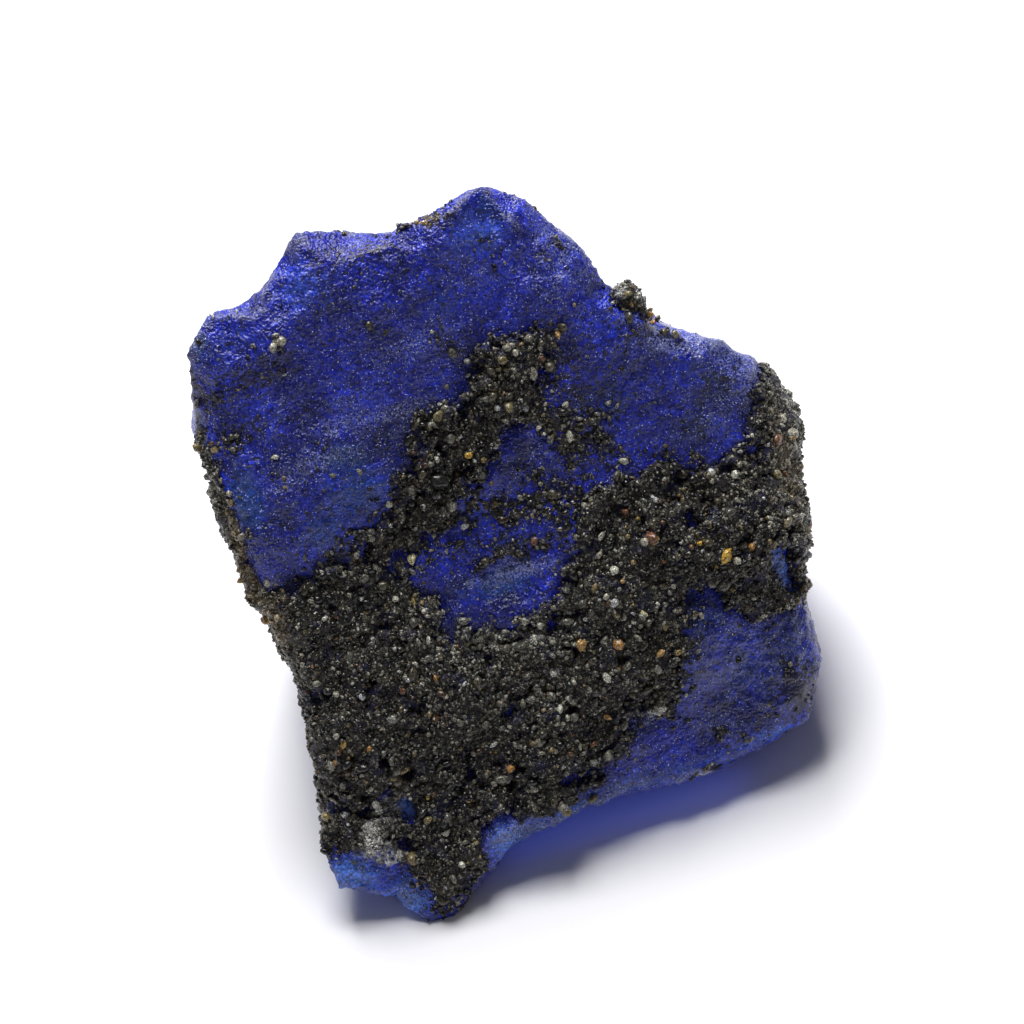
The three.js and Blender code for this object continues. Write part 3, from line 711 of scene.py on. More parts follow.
SAND = [  # share of the grains, tone
    (0.42, linear(32, 30, 30)),  # basalt
    (0.24, linear(68, 63, 50)),  # olive grey
    (0.15, linear(100, 97, 88)),  # grey
    (0.10, linear(148, 144, 130)),  # clouded quartz
    (0.035, linear(122, 106, 72)),  # tan
    (0.004, linear(124, 84, 54)),  # rust
    (0.025, linear(74, 56, 42)),  # brown
    (0.004, linear(160, 132, 74)),  # yellow
    (0.018, linear(206, 204, 190)),  # pale quartz
]
shares = np.array([share for share, _ in SAND])
tones = np.array([tone for _, tone in SAND])
DUSTY = [  # where pale silt lies on the sand
    ((0.33, 0.42), 1.6, 1.2, 0.9), ((0.40, 0.37), 2.6, 1.0, 1.0), ((0.46, 0.36), 1.6, 1.2, 0.9),
    ((0.44, 0.28), 2.6, 1.0, 0.7), ((0.93, 0.45), 0.8, 2.4, 0.6), ((0.80, 0.75), 2.0, 0.8, 0.8),
    ((0.03, 0.50), 0.5, 4.0, 0.9), ((0.965, 0.59), 0.8, 2.4, 1.7), ((0.955, 0.45), 0.6, 3.0, 1.0),
    ((0.02, 0.68), 0.6, 2.4, 1.2),
]
SANDY = [  # where warm brown sand is caught at the edges
    ((0.96, 0.50), 0.6, 2.4, 0.9), ((0.025, 0.58), 0.5, 3.0, 1.0), ((0.79, 0.765), 1.8, 0.6, 1.2),
    ((0.47, 0.965), 0.8, 0.3, 1.0), ((0.93, 0.32), 0.5, 1.6, 0.7), ((0.04, 0.47), 0.5, 1.6, 0.9),
]
SILT, BROWN_SAND, CHALK = linear(150, 150, 140), linear(168, 146, 110), linear(232, 230, 220)
PALEST = 0.46  # the palest a grain may be before silt or chalk lies on it
BRIGHTNESS = (0.6, 1.35)  # how far a grain's own tone is varied
DARK_PEBBLES = 0.75  # the share of basalt among pebbles, to that among grains
print("kinds of sand:", len(SAND))

# %% Draw a colour for each grain


def sand_colours(places, pebbly=False):
    """A colour for each grain. It varies a little from grain to grain and in broad patches, and is
    paler where silt lies. Fewer of the pebbles are dark."""
    count = len(places)
    likely = shares * np.where(np.arange(len(shares)) == 0, DARK_PEBBLES, 1) if pebbly else shares
    picked = tones[rng.choice(len(tones), size=count, p=likely / likely.sum())]
    picked = picked * rng.uniform(*BRIGHTNESS, size=count)[:, None]
    picked = (picked * (0.95 + 0.45 * lumps(places, 1.8, 77.0))[:, None]).clip(0, PALEST)
    for patches, tone, least in [(DUSTY, SILT, 0.0), (SANDY, BROWN_SAND, 0.3), (CREAM, CHALK, 0.5)]:
        share = patches_at(places, patches).clip(0, 1) * rng.uniform(least, 0.95, size=count) ** 2
        picked = picked + (tone - picked) * share[:, None]
    return picked


# %% [markdown]
# ## Scatter the sand
# Real sand lies thick in the crust and thins out beyond its edge, in small clumps and single strays.
# So each size of grain is strewn at random over the stone's net, with more where the crust is full, a
# few where it is thin, and hardly any on the bare blue. They stand on the bed and sink in by halves.

# %% Scatter over a surface
SUNK = (-0.5, 0.3)  # how far a grain's middle lies above its ground, in radii
PEBBLE_FROM = 0.2  # mm: from this radius a grain counts as a pebble
SIZES = [  # (name, how many, smallest and largest radius in mm, share of strays, shapes)
    ("sand_fine_a", 14000, 0.065, 0.14, 0.05, SMALL_SHAPES),
    ("sand_fine_b", 16000, 0.10, 0.195, 0.06, SMALL_SHAPES),
    ("sand_coarse", 4600, 0.17, 0.31, 0.10, MIDDLE_SHAPES),
    ("small_pebbles", 900, 0.26, 0.50, 0.0, LARGE_SHAPES),
]


def scattered(points, triangles, weight, count):
    """Random places on the triangles, more of them where the weight is high, with the direction that
    the surface faces there."""
    a, b, c = points[triangles[:, 0]], points[triangles[:, 1]], points[triangles[:, 2]]
    cross = np.cross(b - a, c - a)
    area = np.linalg.norm(cross, axis=1)
    chance = area * weight[triangles].mean(axis=1)
    picked = rng.choice(len(triangles), size=count, p=chance / chance.sum())
    s, t = rng.random((2, count))
    over = s + t > 1
    s, t = np.where(over, 1 - s, s), np.where(over, 1 - t, t)
    at = a[picked] + (b - a)[picked] * s[:, None] + (c - a)[picked] * t[:, None]
    return at, (cross / np.maximum(area, 1e-20)[:, None])[picked]


print("grains to scatter:", sum(size[1] for size in SIZES))

# %% Strew the four sizes
# The sand stands on whichever lies higher: the bed, or the blue stone near the crust's edge.
ground = np.where((rise > relief)[:, None], top, stone_points)
packed = grown(ragged, 0.34, 0.66)  # 1 where the crust is full
thin = grown(ragged, 0.06, 0.42)  # 1 already where it thins out
clumps = grown(lumps(smooth_points, 0.9, 61.0), -0.05, 0.4)  # strays gather here
anywhere = 0.06 * off_the_ground * grown(lumps(smooth_points, 1.6, 51.0), 0.1, 0.7)  # a few on the blue
faces_forward = 1 + 0.7 * grown(smooth_normals @ OUTWARD, 0.0, 0.5)  # the broad face holds more sand
sand = []
for name, count, smallest, largest, strays, shapes in SIZES:
    crowded = (packed + strays * (thin * (0.4 + 6 * clumps) + anywhere)) * faces_forward
    places, normals = scattered(ground, stone_triangles, crowded, count)
    radii = rng.uniform(smallest, largest, count) * MM
    places = places + normals * (radii * rng.uniform(*SUNK, count))[:, None]
    colours = sand_colours(places, pebbly=smallest > PEBBLE_FROM)
    sand.append(joined_grains(name, shapes, places, radii, colours))

# %% [markdown]
# ## The grains that stand out
# A few grains catch the eye: a yellow one, several tan and orange ones, some pale bits of quartz. They
# are placed one by one, by their shares of the face.

# %% Set the coloured grains one by one
TAN, ORANGE, YELLOW = linear(164, 130, 80), linear(154, 112, 60), linear(186, 148, 62)
PALE, RUST = linear(176, 176, 160), linear(108, 74, 54)
OLIVE, GREY = linear(120, 110, 78), linear(108, 108, 102)
BASALT, CREAMY, PINK = linear(36, 36, 34), linear(190, 182, 140), linear(168, 142, 128)
CHOSEN = [  # (across, up), radius in mm, colour
    ((0.816, 0.412), 0.55, YELLOW), ((0.700, 0.459), 0.50, RUST), ((0.545, 0.337), 0.66, TAN),
    ((0.596, 0.326), 0.38, ORANGE), ((0.625, 0.432), 0.40, PALE), ((0.205, 0.30), 0.36, GREY),
    ((0.673, 0.297), 0.36, TAN), ((0.630, 0.769), 0.36, TAN), ((0.558, 0.759), 0.22, RUST),
    ((0.668, 0.507), 0.28, RUST), ((0.381, 0.194), 0.34, ORANGE), ((0.440, 0.118), 0.52, OLIVE),
    ((0.494, 0.118), 0.50, OLIVE), ((0.296, 0.159), 0.34, TAN), ((0.294, 0.348), 0.22, ORANGE),
    ((0.237, 0.339), 0.24, RUST), ((0.161, 0.274), 0.26, ORANGE), ((0.107, 0.266), 0.24, ORANGE),
    ((0.219, 0.149), 0.34, OLIVE), ((0.250, 0.126), 0.30, PALE), ((0.254, 0.079), 0.28, PALE),
    ((0.513, 0.175), 0.46, GREY), ((0.486, 0.258), 0.40, PALE), ((0.928, 0.548), 0.40, RUST),
    ((0.952, 0.543), 0.34, TAN), ((0.930, 0.498), 0.34, RUST), ((0.597, 0.748), 0.26, RUST),
    ((0.748, 0.783), 0.26, CREAMY), ((0.757, 0.778), 0.22, TAN), ((0.783, 0.762), 0.28, TAN),
    ((0.792, 0.757), 0.24, ORANGE), ((0.818, 0.727), 0.26, OLIVE),
    ((0.522, 0.688), 0.42, OLIVE), ((0.613, 0.668), 0.40, PALE), ((0.683, 0.658), 0.30, GREY),
    ((0.533, 0.757), 0.40, OLIVE), ((0.382, 0.646), 0.30, PALE), ((0.370, 0.596), 0.40, GREY),
    ((0.375, 0.622), 0.70, BASALT), ((0.294, 0.598), 0.30, PALE), ((0.688, 0.574), 0.30, PALE),
    ((0.507, 0.495), 0.32, RUST), ((0.614, 0.480), 0.34, PALE), ((0.490, 0.386), 0.33, PALE),
    ((0.613, 0.370), 0.32, OLIVE), ((0.306, 0.513), 0.38, CREAMY), ((0.775, 0.437), 0.24, YELLOW),
    ((0.852, 0.411), 0.32, ORANGE), ((0.854, 0.517), 0.32, PALE), ((0.914, 0.501), 0.36, OLIVE),
    ((0.652, 0.363), 0.30, CREAMY), ((0.949, 0.422), 0.44, PINK), ((0.926, 0.355), 0.42, PINK),
    ((0.926, 0.322), 0.36, PINK), ((0.043, 0.490), 0.40, TAN), ((0.031, 0.545), 0.34, TAN),
    ((0.58, 0.63), 0.36, GREY), ((0.70, 0.52), 0.34, GREY), ((0.65, 0.36), 0.34, GREY),
    ((0.444, 0.639), 0.30, YELLOW), ((0.406, 0.702), 0.50, OLIVE), ((0.13, 0.70), 0.26, PALE),
    ((0.63, 0.41), 0.26, TAN), ((0.26, 0.47), 0.26, PALE), ((0.30, 0.40), 0.26, PALE),
    ((0.57, 0.29), 0.36, PALE), ((0.55, 0.23), 0.34, TAN), ((0.745, 0.79), 0.34, OLIVE),
    ((0.772, 0.785), 0.30, GREY), ((0.80, 0.76), 0.30, OLIVE),
]
RAISED = 0.25  # how far a grain's middle lies above its ground, in radii


def raised_on_face(place, radius):
    """The centre of a grain that sits in the sand at this place of the face."""
    at = on_face(*place)
    nearest = np.argmin(((smooth_points - at) ** 2).sum(axis=1))
    return ground[nearest] + smooth_normals[nearest] * radius * RAISED


chosen_radii = np.array([radius * MM for _, radius, _ in CHOSEN])
chosen_places = np.array([raised_on_face(place, radius * MM) for place, radius, _ in CHOSEN])
chosen_colours = np.array([colour for _, _, colour in CHOSEN])
PEBBLE_SHAPES = grain_shapes(ball(3), 20, flats=9)
sand.append(joined_grains("coloured_grains", PEBBLE_SHAPES, chosen_places, chosen_radii, chosen_colours))

# %% [markdown]
# ## Splinters that glitter
# Where the stone broke, tiny chips of it stand loose and catch the light as white points. Each is a
# flake of eight faces. They are thickest in the streaks of frost. The sand has splinters of its own,
# of pale quartz, which are a little larger and lie all over the crust. The pale tones of chips and
# splinters, some brighter than a body colour, are partly painted glints.

# %% Chips of the stone
FLAKE_COUNT = 7000
FLAKE_RADII = (0.02, 0.05)  # mm
FLAKE_RAISED = 0.01  # mm: a chip's middle lies this far above the blue
# the chips' pale tones, some brighter than a body colour, are partly painted glints
FLAKE_TONE, FLAKE_BRIGHTNESS = linear(190, 196, 226), (0.4, 1.5)
LEAST_FLAKE, MOST_FLAKE = (0.9, 0.35, 0.25), (2.6, 0.9, 0.5)  # a flake's three sizes, in radii
SHAPES_OF_FLAKE = 24


def flake_shapes(how_many):
    """Flat or needle-like eight-sided chips of radius about 1."""
    tips = np.array([[1, 0, 0], [-1, 0, 0], [0, 1, 0], [0, -1, 0], [0, 0, 1], [0, 0, -1]], float)
    sides = [[0, 2, 4], [2, 1, 4], [1, 3, 4], [3, 0, 4], [2, 0, 5], [1, 2, 5], [3, 1, 5], [0, 3, 5]]
    sizes = rng.uniform(LEAST_FLAKE, MOST_FLAKE, size=(how_many, 3))
    return tips[None] * sizes[:, None, :], np.array(sides)


frosted = patches_at(smooth_points, FROST)
streaky = grown(lumps(smooth_points, (3.2, 0.7, 1.5), 41.0), 0.0, 0.6)
bare = 1 - grown(ragged, 0.45, 0.6)
flaky = bare * off_the_ground * (0.12 + 0.8 * streaky + 3.0 * frosted)
places, normals = scattered(stone_points, stone_triangles, flaky, FLAKE_COUNT)
radii = rng.uniform(*FLAKE_RADII, FLAKE_COUNT) * MM
flake_tones = FLAKE_TONE * rng.uniform(*FLAKE_BRIGHTNESS, size=FLAKE_COUNT)[:, None]
places = places + normals * FLAKE_RAISED * MM
flakes = joined_grains("glittering_chips", flake_shapes(SHAPES_OF_FLAKE), places, radii, flake_tones)

# %% Splinters of quartz in the crust
SPLINTER_COUNT = 6000
SPLINTER_RADII = (0.025, 0.06)  # mm
SPLINTER_RAISED = (0.0, 0.12)  # mm: how far a splinter's middle lies above its ground
# the splinters' pale tones are partly painted glints
SPLINTER_TONE, SPLINTER_BRIGHTNESS = linear(176, 172, 158), (0.3, 1.5)
places, normals = scattered(ground, stone_triangles, packed * faces_forward, SPLINTER_COUNT)
radii = rng.uniform(*SPLINTER_RADII, SPLINTER_COUNT) * MM
splinter_tones = SPLINTER_TONE * rng.uniform(*SPLINTER_BRIGHTNESS, size=SPLINTER_COUNT)[:, None] ** 1.5
places = places + normals * (rng.uniform(*SPLINTER_RAISED, SPLINTER_COUNT) * MM)[:, None]
splinter_shapes = flake_shapes(SHAPES_OF_FLAKE)
sand.append(joined_grains("quartz_splinters", splinter_shapes, places, radii, splinter_tones))

# %% [markdown]
# ## Finish of the stone
# Clouded sapphire is partly clear: light goes in, turns blue over a few millimetres and comes out
# again. So two fifths of the shader are clear, with an absorption that lets only blue through, and the
# rest is a matt blue body. The helpers below make the nodes. A finish is then written as a list of
# things that turn the body towards another tone, from the broadest to the finest.

# %% Helpers for finishes: ramps and noise


def ramp(tree, factor, *stops):
    """A colour ramp fed by a socket, with its stops as (place, colour)."""
    node = tree.nodes.new("ShaderNodeValToRGB")
    while len(node.color_ramp.elements) < len(stops):
        node.color_ramp.elements.new(0.5)
    for element, (place, colour) in zip(node.color_ramp.elements, stops):
        element.position = place
        element.color = (*colour, 1)
    tree.links.new(factor, node.inputs["Fac"])
    return node.outputs["Color"]


def pattern(tree, size, detail=3.0, stretch=(1, 1, 1), turned=(0, 0, 0)):
    """A noise whose lumps are about this many millimetres across, stretched along the axes."""
    place = tree.nodes.new("ShaderNodeTexCoord")
    mapping = tree.nodes.new("ShaderNodeMapping")
    mapping.inputs["Rotation"].default_value = turned
    mapping.inputs["Scale"].default_value = [1 / (s * MM) for s in stretch]
    made = tree.nodes.new("ShaderNodeTexNoise")
    made.inputs["Scale"].default_value = 1 / size
    made.inputs["Detail"].default_value = detail
    tree.links.new(place.outputs["Object"], mapping.inputs["Vector"])
    tree.links.new(mapping.outputs["Vector"], made.inputs["Vector"])
    return made.outputs["Fac"]


print("a finish can have ramps and noise")

# %% Helpers for finishes: sums, mixtures and steps


def feed(tree, target, value):
    """Links a socket to the target, or sets the target to a plain number or colour."""
    if isinstance(value, bpy.types.NodeSocket):
        tree.links.new(value, target)
    elif np.ndim(value) == 0:
        target.default_value = value
    else:
        target.default_value = (*value, 1)


def mixed(tree, factor, a, b, kind="MIX"):
    """Two colours mixed by a factor; each of the three is a socket or a plain value."""
    node = tree.nodes.new("ShaderNodeMix")
    node.data_type = "RGBA"
    node.blend_type = kind
    for name, value in (("Factor", factor), ("A", a), ("B", b)):
        feed(tree, next(s for s in node.inputs if s.name == name and s.enabled), value)
    return next(s for s in node.outputs if s.enabled)


def sum_of(tree, a, b, kind="ADD", kept=False):
    """Two numbers added, or joined in another way; kept between 0 and 1 if asked."""
    node = tree.nodes.new("ShaderNodeMath")
    node.operation = kind
    node.use_clamp = kept
    feed(tree, node.inputs[0], a)
    feed(tree, node.inputs[1], b)
    return node.outputs[0]


def stepped(tree, value, low, high):
    """A soft step from 0 to 1 as the value goes from low to high."""
    node = tree.nodes.new("ShaderNodeMapRange")
    node.interpolation_type = "SMOOTHSTEP"
    node.inputs["From Min"].default_value = low
    node.inputs["From Max"].default_value = high
    tree.links.new(value, node.inputs["Value"])
    return node.outputs["Result"]


def painted(tree, name):
    """What was kept with the piece under this name, as a node."""
    node = tree.nodes.new("ShaderNodeAttribute")
    node.attribute_name = name
    return node


def bumped(tree, shader, height, strength, depth):
    """Feeds a height to the shader as small relief, its depth in millimetres."""
    bump = tree.nodes.new("ShaderNodeBump")
    bump.inputs["Strength"].default_value = strength
    bump.inputs["Distance"].default_value = depth * MM
    tree.links.new(height, bump.inputs["Height"])
    tree.links.new(bump.outputs["Normal"], shader.inputs["Normal"])


print("a finish can be mixed, stepped, painted and bumped")

# %% Tones of the stone
NAVY, INK, ROYAL, AZURE = linear(16, 26, 134), linear(10, 14, 74), linear(23, 42, 208), linear(38, 64, 246)
# the first tone on the next line and the shining tone below are painted glow, for light that shines through
# thin stone
PAINTED_GLOW_BLUE, SEA_BLUE, SLATE = linear(68, 104, 255), linear(36, 92, 178), linear(96, 104, 152)
LAVENDER, SPARKLE_ICE, WORN = linear(180, 190, 245), linear(128, 142, 222), linear(158, 160, 186)
PAINTED_GLOW_TONE = 1.5 * linear(92, 146, 255)  # brighter than a body colour, since light comes through
# a painted glint: a colour brighter than a body colour, standing for a splinter that flashes
PAINTED_GLINT = 1.9 * linear(168, 182, 244)  # a splinter that flashes
DIRT, BROWN_DIRT_AND_SHADE = linear(36, 34, 30), linear(38, 32, 26)
print("the stone's usual blue, as amounts of light:", ROYAL.round(3))

# %% Cells, specks and ragged patches
SPECK_LEAST, SPECK_SPREAD = 0.12, 0.32  # a speck's radius, and how much more it may have, in cells
RAGGED_BY = 1.2  # how strongly noise frays a patch


def cells(tree, size, feature="F1"):
    """Cells packed side by side, about this many millimetres across, each with a random colour."""
    place = tree.nodes.new("ShaderNodeTexCoord")
    made = tree.nodes.new("ShaderNodeTexVoronoi")
    made.feature = feature
    made.inputs["Scale"].default_value = 1 / (size * MM)
    tree.links.new(place.outputs["Object"], made.inputs["Vector"])
    return made


def drawn(tree, cell_node):
    """Two random numbers from 0 to 1 that hold for a whole cell."""
    parts = tree.nodes.new("ShaderNodeSeparateColor")
    tree.links.new(cell_node.outputs["Color"], parts.inputs["Color"])
    return parts.outputs["Red"], parts.outputs["Green"]


def specks(tree, size, share):
    """Sharp round specks about as far apart as this size in mm; the share of places that hold one may
    be a socket. It gives 1 in a speck and 0 elsewhere."""
    made = cells(tree, size)
    first, second = drawn(tree, made)
    wide = sum_of(tree, sum_of(tree, second, SPECK_SPREAD, "MULTIPLY"), SPECK_LEAST)
    near = sum_of(tree, made.outputs["Distance"], wide, "LESS_THAN")
    return sum_of(tree, sum_of(tree, first, share, "LESS_THAN"), near, "MULTIPLY")


def grey(value):
    """A grey as an amount of light; above 1 it is brighter than any body colour."""
    return (value,) * 3


def fraying(tree):
    """The noise that frays the edges of a finish's patches. All of them share it."""
    around_zero = sum_of(tree, pattern(tree, 0.6, 3), 0.5, "SUBTRACT")
    return sum_of(tree, around_zero, RAGGED_BY, "MULTIPLY")


def broken_up(tree, fray, name, low, high):
    """A painted patch with a ragged edge, as a factor."""
    return stepped(tree, sum_of(tree, painted(tree, name).outputs["Fac"], fray), low, high)


def tinted(tree, body, factor, strength, tone):
    """The body colour turned towards a tone, where the factor is high."""
    return mixed(tree, sum_of(tree, factor, strength, "MULTIPLY"), body, tone)


def crumbs(tree, most):
    """How much of a thin pale crumbly cover there is: it differs from crystal to crystal."""
    crystal, _ = drawn(tree, cells(tree, 0.12))
    return stepped(tree, sum_of(tree, crystal, pattern(tree, 0.4, 3)), most, 1.5)


def chalked(tree, fray, body):
    """The body with the chalky crusts on it, which are crumbs of many tones from grey to white. The
    brightest crumbs, brighter than a body colour, are partly painted light on crusts that face into shade.
    """
    crystal, other = drawn(tree, cells(tree, 0.15))
    # the ramp's top stops, above white, are painted light
    tone = ramp(
        tree, other,
        (0.0, linear(84, 84, 80)), (0.3, linear(180, 178, 168)), (0.6, 1.2 * CHALK), (1.0, grey(1.7)),
    )
    cover = broken_up(tree, fray, "cream", 0.2, 1.3)
    cover = sum_of(tree, cover, stepped(tree, crystal, 0.05, 0.35), "MULTIPLY")
    return tinted(tree, body, cover, 0.92, tone)


print("patches can be frayed, crumbly or chalky, and specks", SPECK_LEAST, "cells wide or more")

# %% [markdown]
# ## The body's blue
# Broad clouds move the body between navy and royal blue, and smaller ones darken it in spots. The
# painted patches add a painted glow where it is thin, turn it towards sea blue, and lay a dull haze on it,
# partly a painted sheen. Then come the small crystals: each has a lightness of its own, partly painted
# light and shade of its facets, and here and there one is painted pale as a sparkle.

# %% Clouds, painted glow, and haze with painted sheen
corundum, tree, shader = shader_of("blue_corundum")
fray = fraying(tree)
body = ramp(tree, pattern(tree, 3.2, 4), (0.36, NAVY), (0.50, ROYAL), (0.64, AZURE))
mottle = stepped(tree, pattern(tree, 0.7, 4), 0.35, 0.66)
body = mixed(tree, mottle, mixed(tree, 0.35, body, INK), body)
# painted glow: thin places are painted brighter blue, and the thinnest brighter than a body colour, as if
# lit through
body = tinted(tree, body, broken_up(tree, fray, "painted_glow", 0.2, 1.1), 0.9, PAINTED_GLOW_BLUE)
body = tinted(tree, body, broken_up(tree, fray, "painted_glow", 0.8, 1.7), 0.8, PAINTED_GLOW_TONE)
# sea-blue clouds, which low on the face along the foot and the lip are partly painted glow
body = tinted(tree, body, broken_up(tree, fray, "clouds_and_glow", 0.2, 1.2), 0.75, SEA_BLUE)
# a dull slate haze on the blue, partly a painted sheen
haze_and_sheen_mask = sum_of(tree, broken_up(tree, fray, "haze_and_sheen", 0.2, 1.2), crumbs(tree, 0.1), "MULTIPLY")
body = tinted(tree, body, haze_and_sheen_mask, 0.95, SLATE)
print("the body has", len(tree.nodes), "nodes so far")

# %% Painted shade in pits, and small crystals with painted light and sparkle
CRYSTALS = [(0.36, 0.70, 1.3, 0.10), (0.13, 0.45, 1.6, 0.40)]  # size in mm, darkest, brightest, paled
# darker spots, painted as the shade in small pits
pit_shade = sum_of(tree, pattern(tree, 0.20, 3), sum_of(tree, mottle, 0.10, "MULTIPLY"))
body = tinted(tree, body, stepped(tree, pit_shade, 0.52, 0.42), 0.38, INK)
# each crystal's own lightness is partly painted light and shade of its facet, and the paled ones are
# painted sparkles
for size, darkest, brightest, paled in CRYSTALS:
    crystal, other = drawn(tree, cells(tree, size))
    crystal_tone_and_light = ramp(tree, crystal, (0.0, grey(darkest)), (0.6, grey(1.0)), (1.0, grey(brightest)))
    body = mixed(tree, 1.0, body, crystal_tone_and_light, "MULTIPLY")
    sparkle_clusters = stepped(tree, pattern(tree, 0.8, 3), 0.36, 0.62)
    painted_sparkle = sum_of(tree, stepped(tree, other, 0.70, 1.0), sparkle_clusters, "MULTIPLY")
    body = tinted(tree, body, painted_sparkle, paled, SPARKLE_ICE)
print("the body has", len(tree.nodes), "nodes so far")

# %% [markdown]
# ## Frost, painted glints, and dirt with painted shade
# A broken crystal whitens where its splinters stand, in streaks along the grain and thickest in the
# painted frost. Painted glints stand for single splinters that flash as points. Edges are rubbed pale,
# and dark dirt sits in spots, with a patch of painted shade on the top ledge.

# %% Milky frost
streaks = pattern(tree, 1.0, 3, stretch=(1.9, 0.8, 0.6), turned=(-FACE_LOOKS_UP, 0, 0))
streaks = stepped(tree, streaks, 0.44, 0.70)
frost = broken_up(tree, fray, "frost", 0.15, 1.1)
milky = sum_of(tree, sum_of(tree, streaks, 0.12, "MULTIPLY"), sum_of(tree, frost, 0.60, "MULTIPLY"))
milky = sum_of(tree, milky, stepped(tree, pattern(tree, 0.12, 3), 0.44, 0.60), "MULTIPLY")
body = mixed(tree, milky, body, LAVENDER)
print("the body has", len(tree.nodes), "nodes so far")

# %% Painted glints
# painted glints: white and lavender specks that stand for splinters catching the light
share = sum_of(tree, sum_of(tree, streaks, 0.32, "MULTIPLY"), sum_of(tree, frost, 0.42, "MULTIPLY"))
share = sum_of(tree, share, stepped(tree, pattern(tree, 0.9, 2), 0.50, 0.75), "MULTIPLY")
body = tinted(tree, body, specks(tree, 0.10, sum_of(tree, share, 0.07)), 0.95, PAINTED_GLINT)
body = tinted(tree, body, specks(tree, 0.17, sum_of(tree, share, 0.42, "MULTIPLY")), 0.85, LAVENDER)
print("the body has", len(tree.nodes), "nodes so far")

# %% Chalk with painted light, worn edges, and dirt with painted shade
body = chalked(tree, fray, body)
worn = sum_of(tree, broken_up(tree, fray, "worn", 0.25, 1.0), crumbs(tree, 0.4), "MULTIPLY")
body = tinted(tree, body, worn, 0.45, WORN)
# brown dirt in spots, and on the top ledge a painted shade
dirt_and_shade = sum_of(tree, painted(tree, "grime_and_shade").outputs["Fac"], 0.22, "MULTIPLY")
dirt_and_shade = stepped(tree, sum_of(tree, dirt_and_shade, pattern(tree, 0.33, 3)), 0.64, 0.72)
body = tinted(tree, body, dirt_and_shade, 0.8, BROWN_DIRT_AND_SHADE)
body = tinted(tree, body, specks(tree, 0.30, 0.07), 0.8, DIRT)
tree.links.new(body, shader.inputs["Base Color"])
print("the body's colour is done, with", len(tree.nodes), "nodes")

# %% [markdown]
# ## Gloss, relief and depth
# Corundum bends light strongly. Broken as finely as here it has only a soft gloss, and a relief of
# tiny crystals that is calmer where the haze lies. Inside it swallows red and green light.

# %% Gloss and fine relief of the stone
CORUNDUM_IOR = 1.77
CLEAR_SHARE = 0.4
CALMED_BY = -0.55  # how much relief the haze takes away
shader.inputs["Roughness"].default_value = 0.22
shader.inputs["IOR"].default_value = CORUNDUM_IOR
shader.inputs["Specular IOR Level"].default_value = 0.18
shader.inputs["Transmission Weight"].default_value = CLEAR_SHARE
pebbled = sum_of(tree, cells(tree, 0.20).outputs["Distance"], 0.35, "MULTIPLY")
ridges = sum_of(tree, pattern(tree, 0.20, 4), pebbled)
haze_here = stepped(tree, painted(tree, "haze_and_sheen").outputs["Fac"], 0.1, 0.8)
relief_left = sum_of(tree, sum_of(tree, haze_here, CALMED_BY, "MULTIPLY"), 1.0)
bumped(tree, shader, sum_of(tree, ridges, relief_left, "MULTIPLY"), 1.0, 0.14)
print("clear share of the stone:", CLEAR_SHARE)

# %% Depth of the stone
BLUE_LET_THROUGH = (0.02, 0.14, 0.92, 1)
SWALLOWED = 320  # the absorption's density, per metre
absorption = tree.nodes.new("ShaderNodeVolumeAbsorption")
absorption.inputs["Color"].default_value = BLUE_LET_THROUGH
absorption.inputs["Density"].default_value = SWALLOWED
tree.links.new(absorption.outputs["Volume"], tree.nodes["Material Output"].inputs["Volume"])
stone.data.materials.append(corundum)
print("the stone's finish has", len(tree.nodes), "nodes")

# %% [markdown]
# ## Finish of the sand
# Each grain carries its own colour, and a fine noise breaks it up into light and dark speckle, whose
# brightest points are painted glints. The grains are glassy, so a flat that happens to face the lamp
# flashes. The bed is sand too, only finer than can be modelled: cells of a fraction of a millimetre
# stand for its grains, each with a tone of its own, and the seams between them are painted dark as shade.

# %% Loose sand
sand_finish, tree, shader = shader_of("sand_grains")
# light and dark speckle on each grain; its brightest points are painted glints
speckle_and_glints = ramp(tree, pattern(tree, 0.07, 3), (0.38, grey(0.25)), (0.5, grey(0.8)), (0.64, grey(2.4)))
tone = painted(tree, "grain_tone").outputs["Color"]
tree.links.new(mixed(tree, 1.0, tone, speckle_and_glints, "MULTIPLY"), shader.inputs["Base Color"])
shader.inputs["Roughness"].default_value = 0.2
shader.inputs["Specular IOR Level"].default_value = 0.55
bumped(tree, shader, pattern(tree, 0.07, 2), 0.6, 0.03)
for piece in sand:
    piece.data.materials.append(sand_finish)
print("the sand's finish has", len(tree.nodes), "nodes")

# %% What the bed's finish reads
for name, patches in [("dusty", DUSTY), ("cream", CREAM), ("sandy", SANDY)]:
    keep_with(bed, name, patches_at(points_of(bed.data), patches))
edge = 1 - grown(ragged[np.unique(bed_triangles)], 0.5, 1.0)
keep_with(bed, "edge", np.tile(edge, 2))  # once for the bed's top, once for its root
print("the bed is kept with", len(edge), "points on its top")

# %% Colours of the cemented bed
BED_CELLS = 0.19  # mm: the finest grains, which only the finish shows
BLUE_BENEATH, BLUE_BETWEEN = linear(16, 20, 84), linear(16, 22, 88)
bed_finish, tree, shader = shader_of("dark_cement")
fray = fraying(tree)
grain_draw, _ = drawn(tree, cells(tree, BED_CELLS))
paler = sum_of(tree, broken_up(tree, fray, "dusty", 0.3, 1.3), 0.22, "MULTIPLY")
grain_draw = sum_of(tree, grain_draw, paler, kept=True)
cement = ramp(
    tree, grain_draw,
    (0.0, linear(12, 11, 12)), (0.45, linear(36, 34, 32)), (0.72, linear(76, 71, 60)),
    (0.88, linear(120, 116, 102)), (1.0, linear(196, 192, 176)),
)
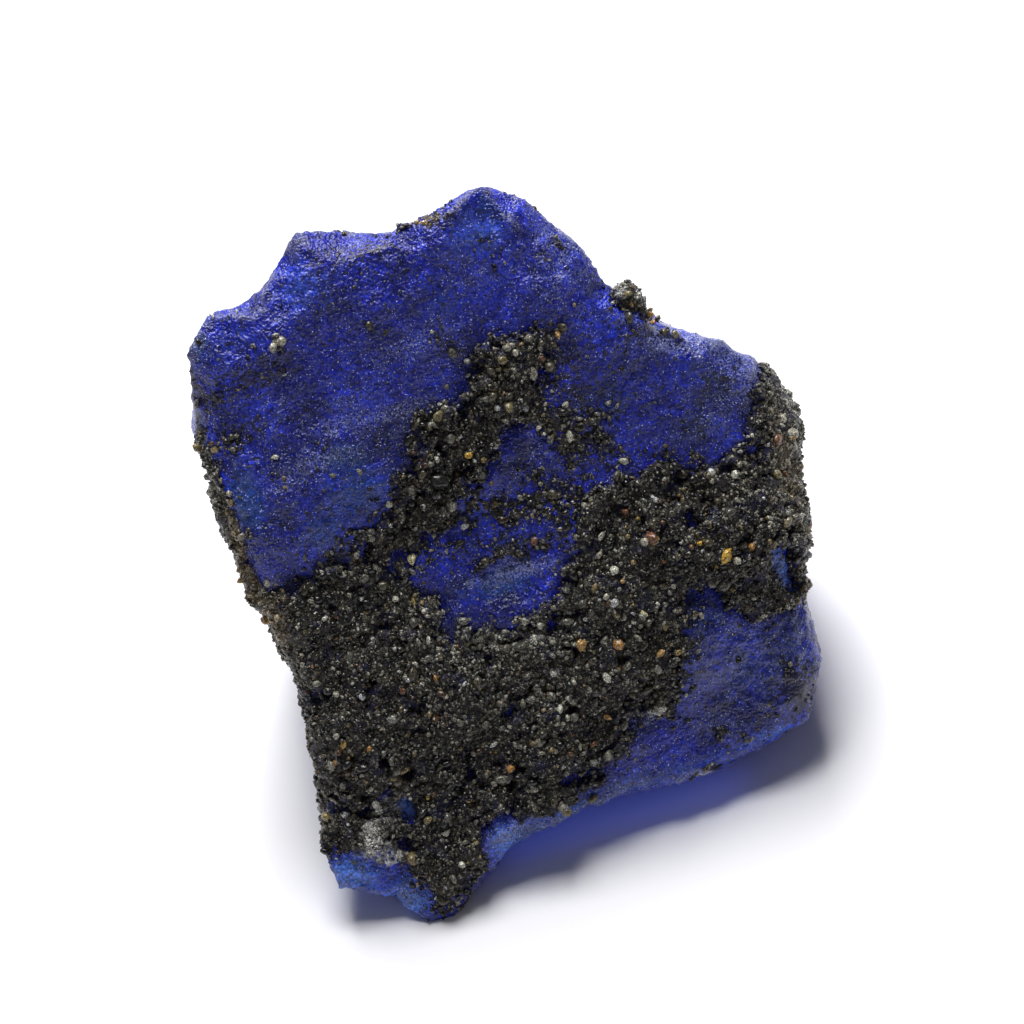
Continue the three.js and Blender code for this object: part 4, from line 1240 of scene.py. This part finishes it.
# the seams between the cells are painted dark, as shade between the grains
shaded_gaps = stepped(tree, cells(tree, BED_CELLS, "DISTANCE_TO_EDGE").outputs["Distance"], 0.02, 0.16)
cement = mixed(tree, shaded_gaps, mixed(tree, 0.8, cement, linear(14, 13, 13)), cement)
cement = tinted(tree, cement, stepped(tree, pattern(tree, 1.3, 3), 0.52, 0.66), 0.45, BLUE_BENEATH)
cement = tinted(tree, cement, broken_up(tree, fray, "sandy", 0.3, 1.3), 0.65, BROWN_SAND)
cement = chalked(tree, fray, cement)
dark_grains = stepped(tree, grain_draw, 0.95, 0.5)
between = sum_of(tree, broken_up(tree, fray, "edge", 0.35, 1.0), dark_grains, "MULTIPLY")
cement = tinted(tree, cement, between, 0.85, BLUE_BETWEEN)
# fine light and dark speckle; its brightest points are painted glints
fine = ramp(tree, pattern(tree, 0.06, 3), (0.38, grey(0.4)), (0.5, grey(0.9)), (0.64, grey(2.2)))
tree.links.new(mixed(tree, 1.0, cement, fine, "MULTIPLY"), shader.inputs["Base Color"])
print("the bed's colour has", len(tree.nodes), "nodes")

# %% Gloss and fine relief of the bed
shader.inputs["Roughness"].default_value = 0.35
shader.inputs["Specular IOR Level"].default_value = 0.4
bumped(tree, shader, sum_of(tree, shaded_gaps, pattern(tree, 0.08, 3)), 0.8, 0.07)
bed.data.materials.append(bed_finish)
print("the bed's finish has", len(tree.nodes), "nodes")

# %% [markdown]
# ## Finish of the loose chips
# A chip too thin to look blue is nearly white, and its pale tone is partly a painted glint. Its finish
# keeps the tone of each chip, with a noise that leaves part of it bluish, so that no two flash alike.

# %% Loose chips
chip_finish, tree, shader = shader_of("corundum_chips")
tone = painted(tree, "grain_tone").outputs["Color"]
varied = ramp(tree, pattern(tree, 0.2, 2), (0.3, (0.5, 0.55, 0.9)), (0.7, (1.2, 1.2, 1.2)))
tree.links.new(mixed(tree, 1.0, tone, varied, "MULTIPLY"), shader.inputs["Base Color"])
shader.inputs["Roughness"].default_value = 0.3
flakes.data.materials.append(chip_finish)
print("the chips' finish has", len(tree.nodes), "nodes")

# %% [markdown]
# ## Hand over
# Every piece rides on the one body. The detailed stone stands for the plain stone, and the bed with
# its grains for the crust's solid.

# %% Hand over
pieces = [stone, flakes, bed, *sand]
for piece in pieces:
    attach(piece, "root")
stone.data.shade_smooth()
bed.data.shade_smooth()
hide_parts("sapphire")
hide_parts("sand_crust")
faces = {piece.name: len(triangles_of(piece.data)) for piece in pieces}
print("triangles:", faces, "in all", sum(faces.values()))
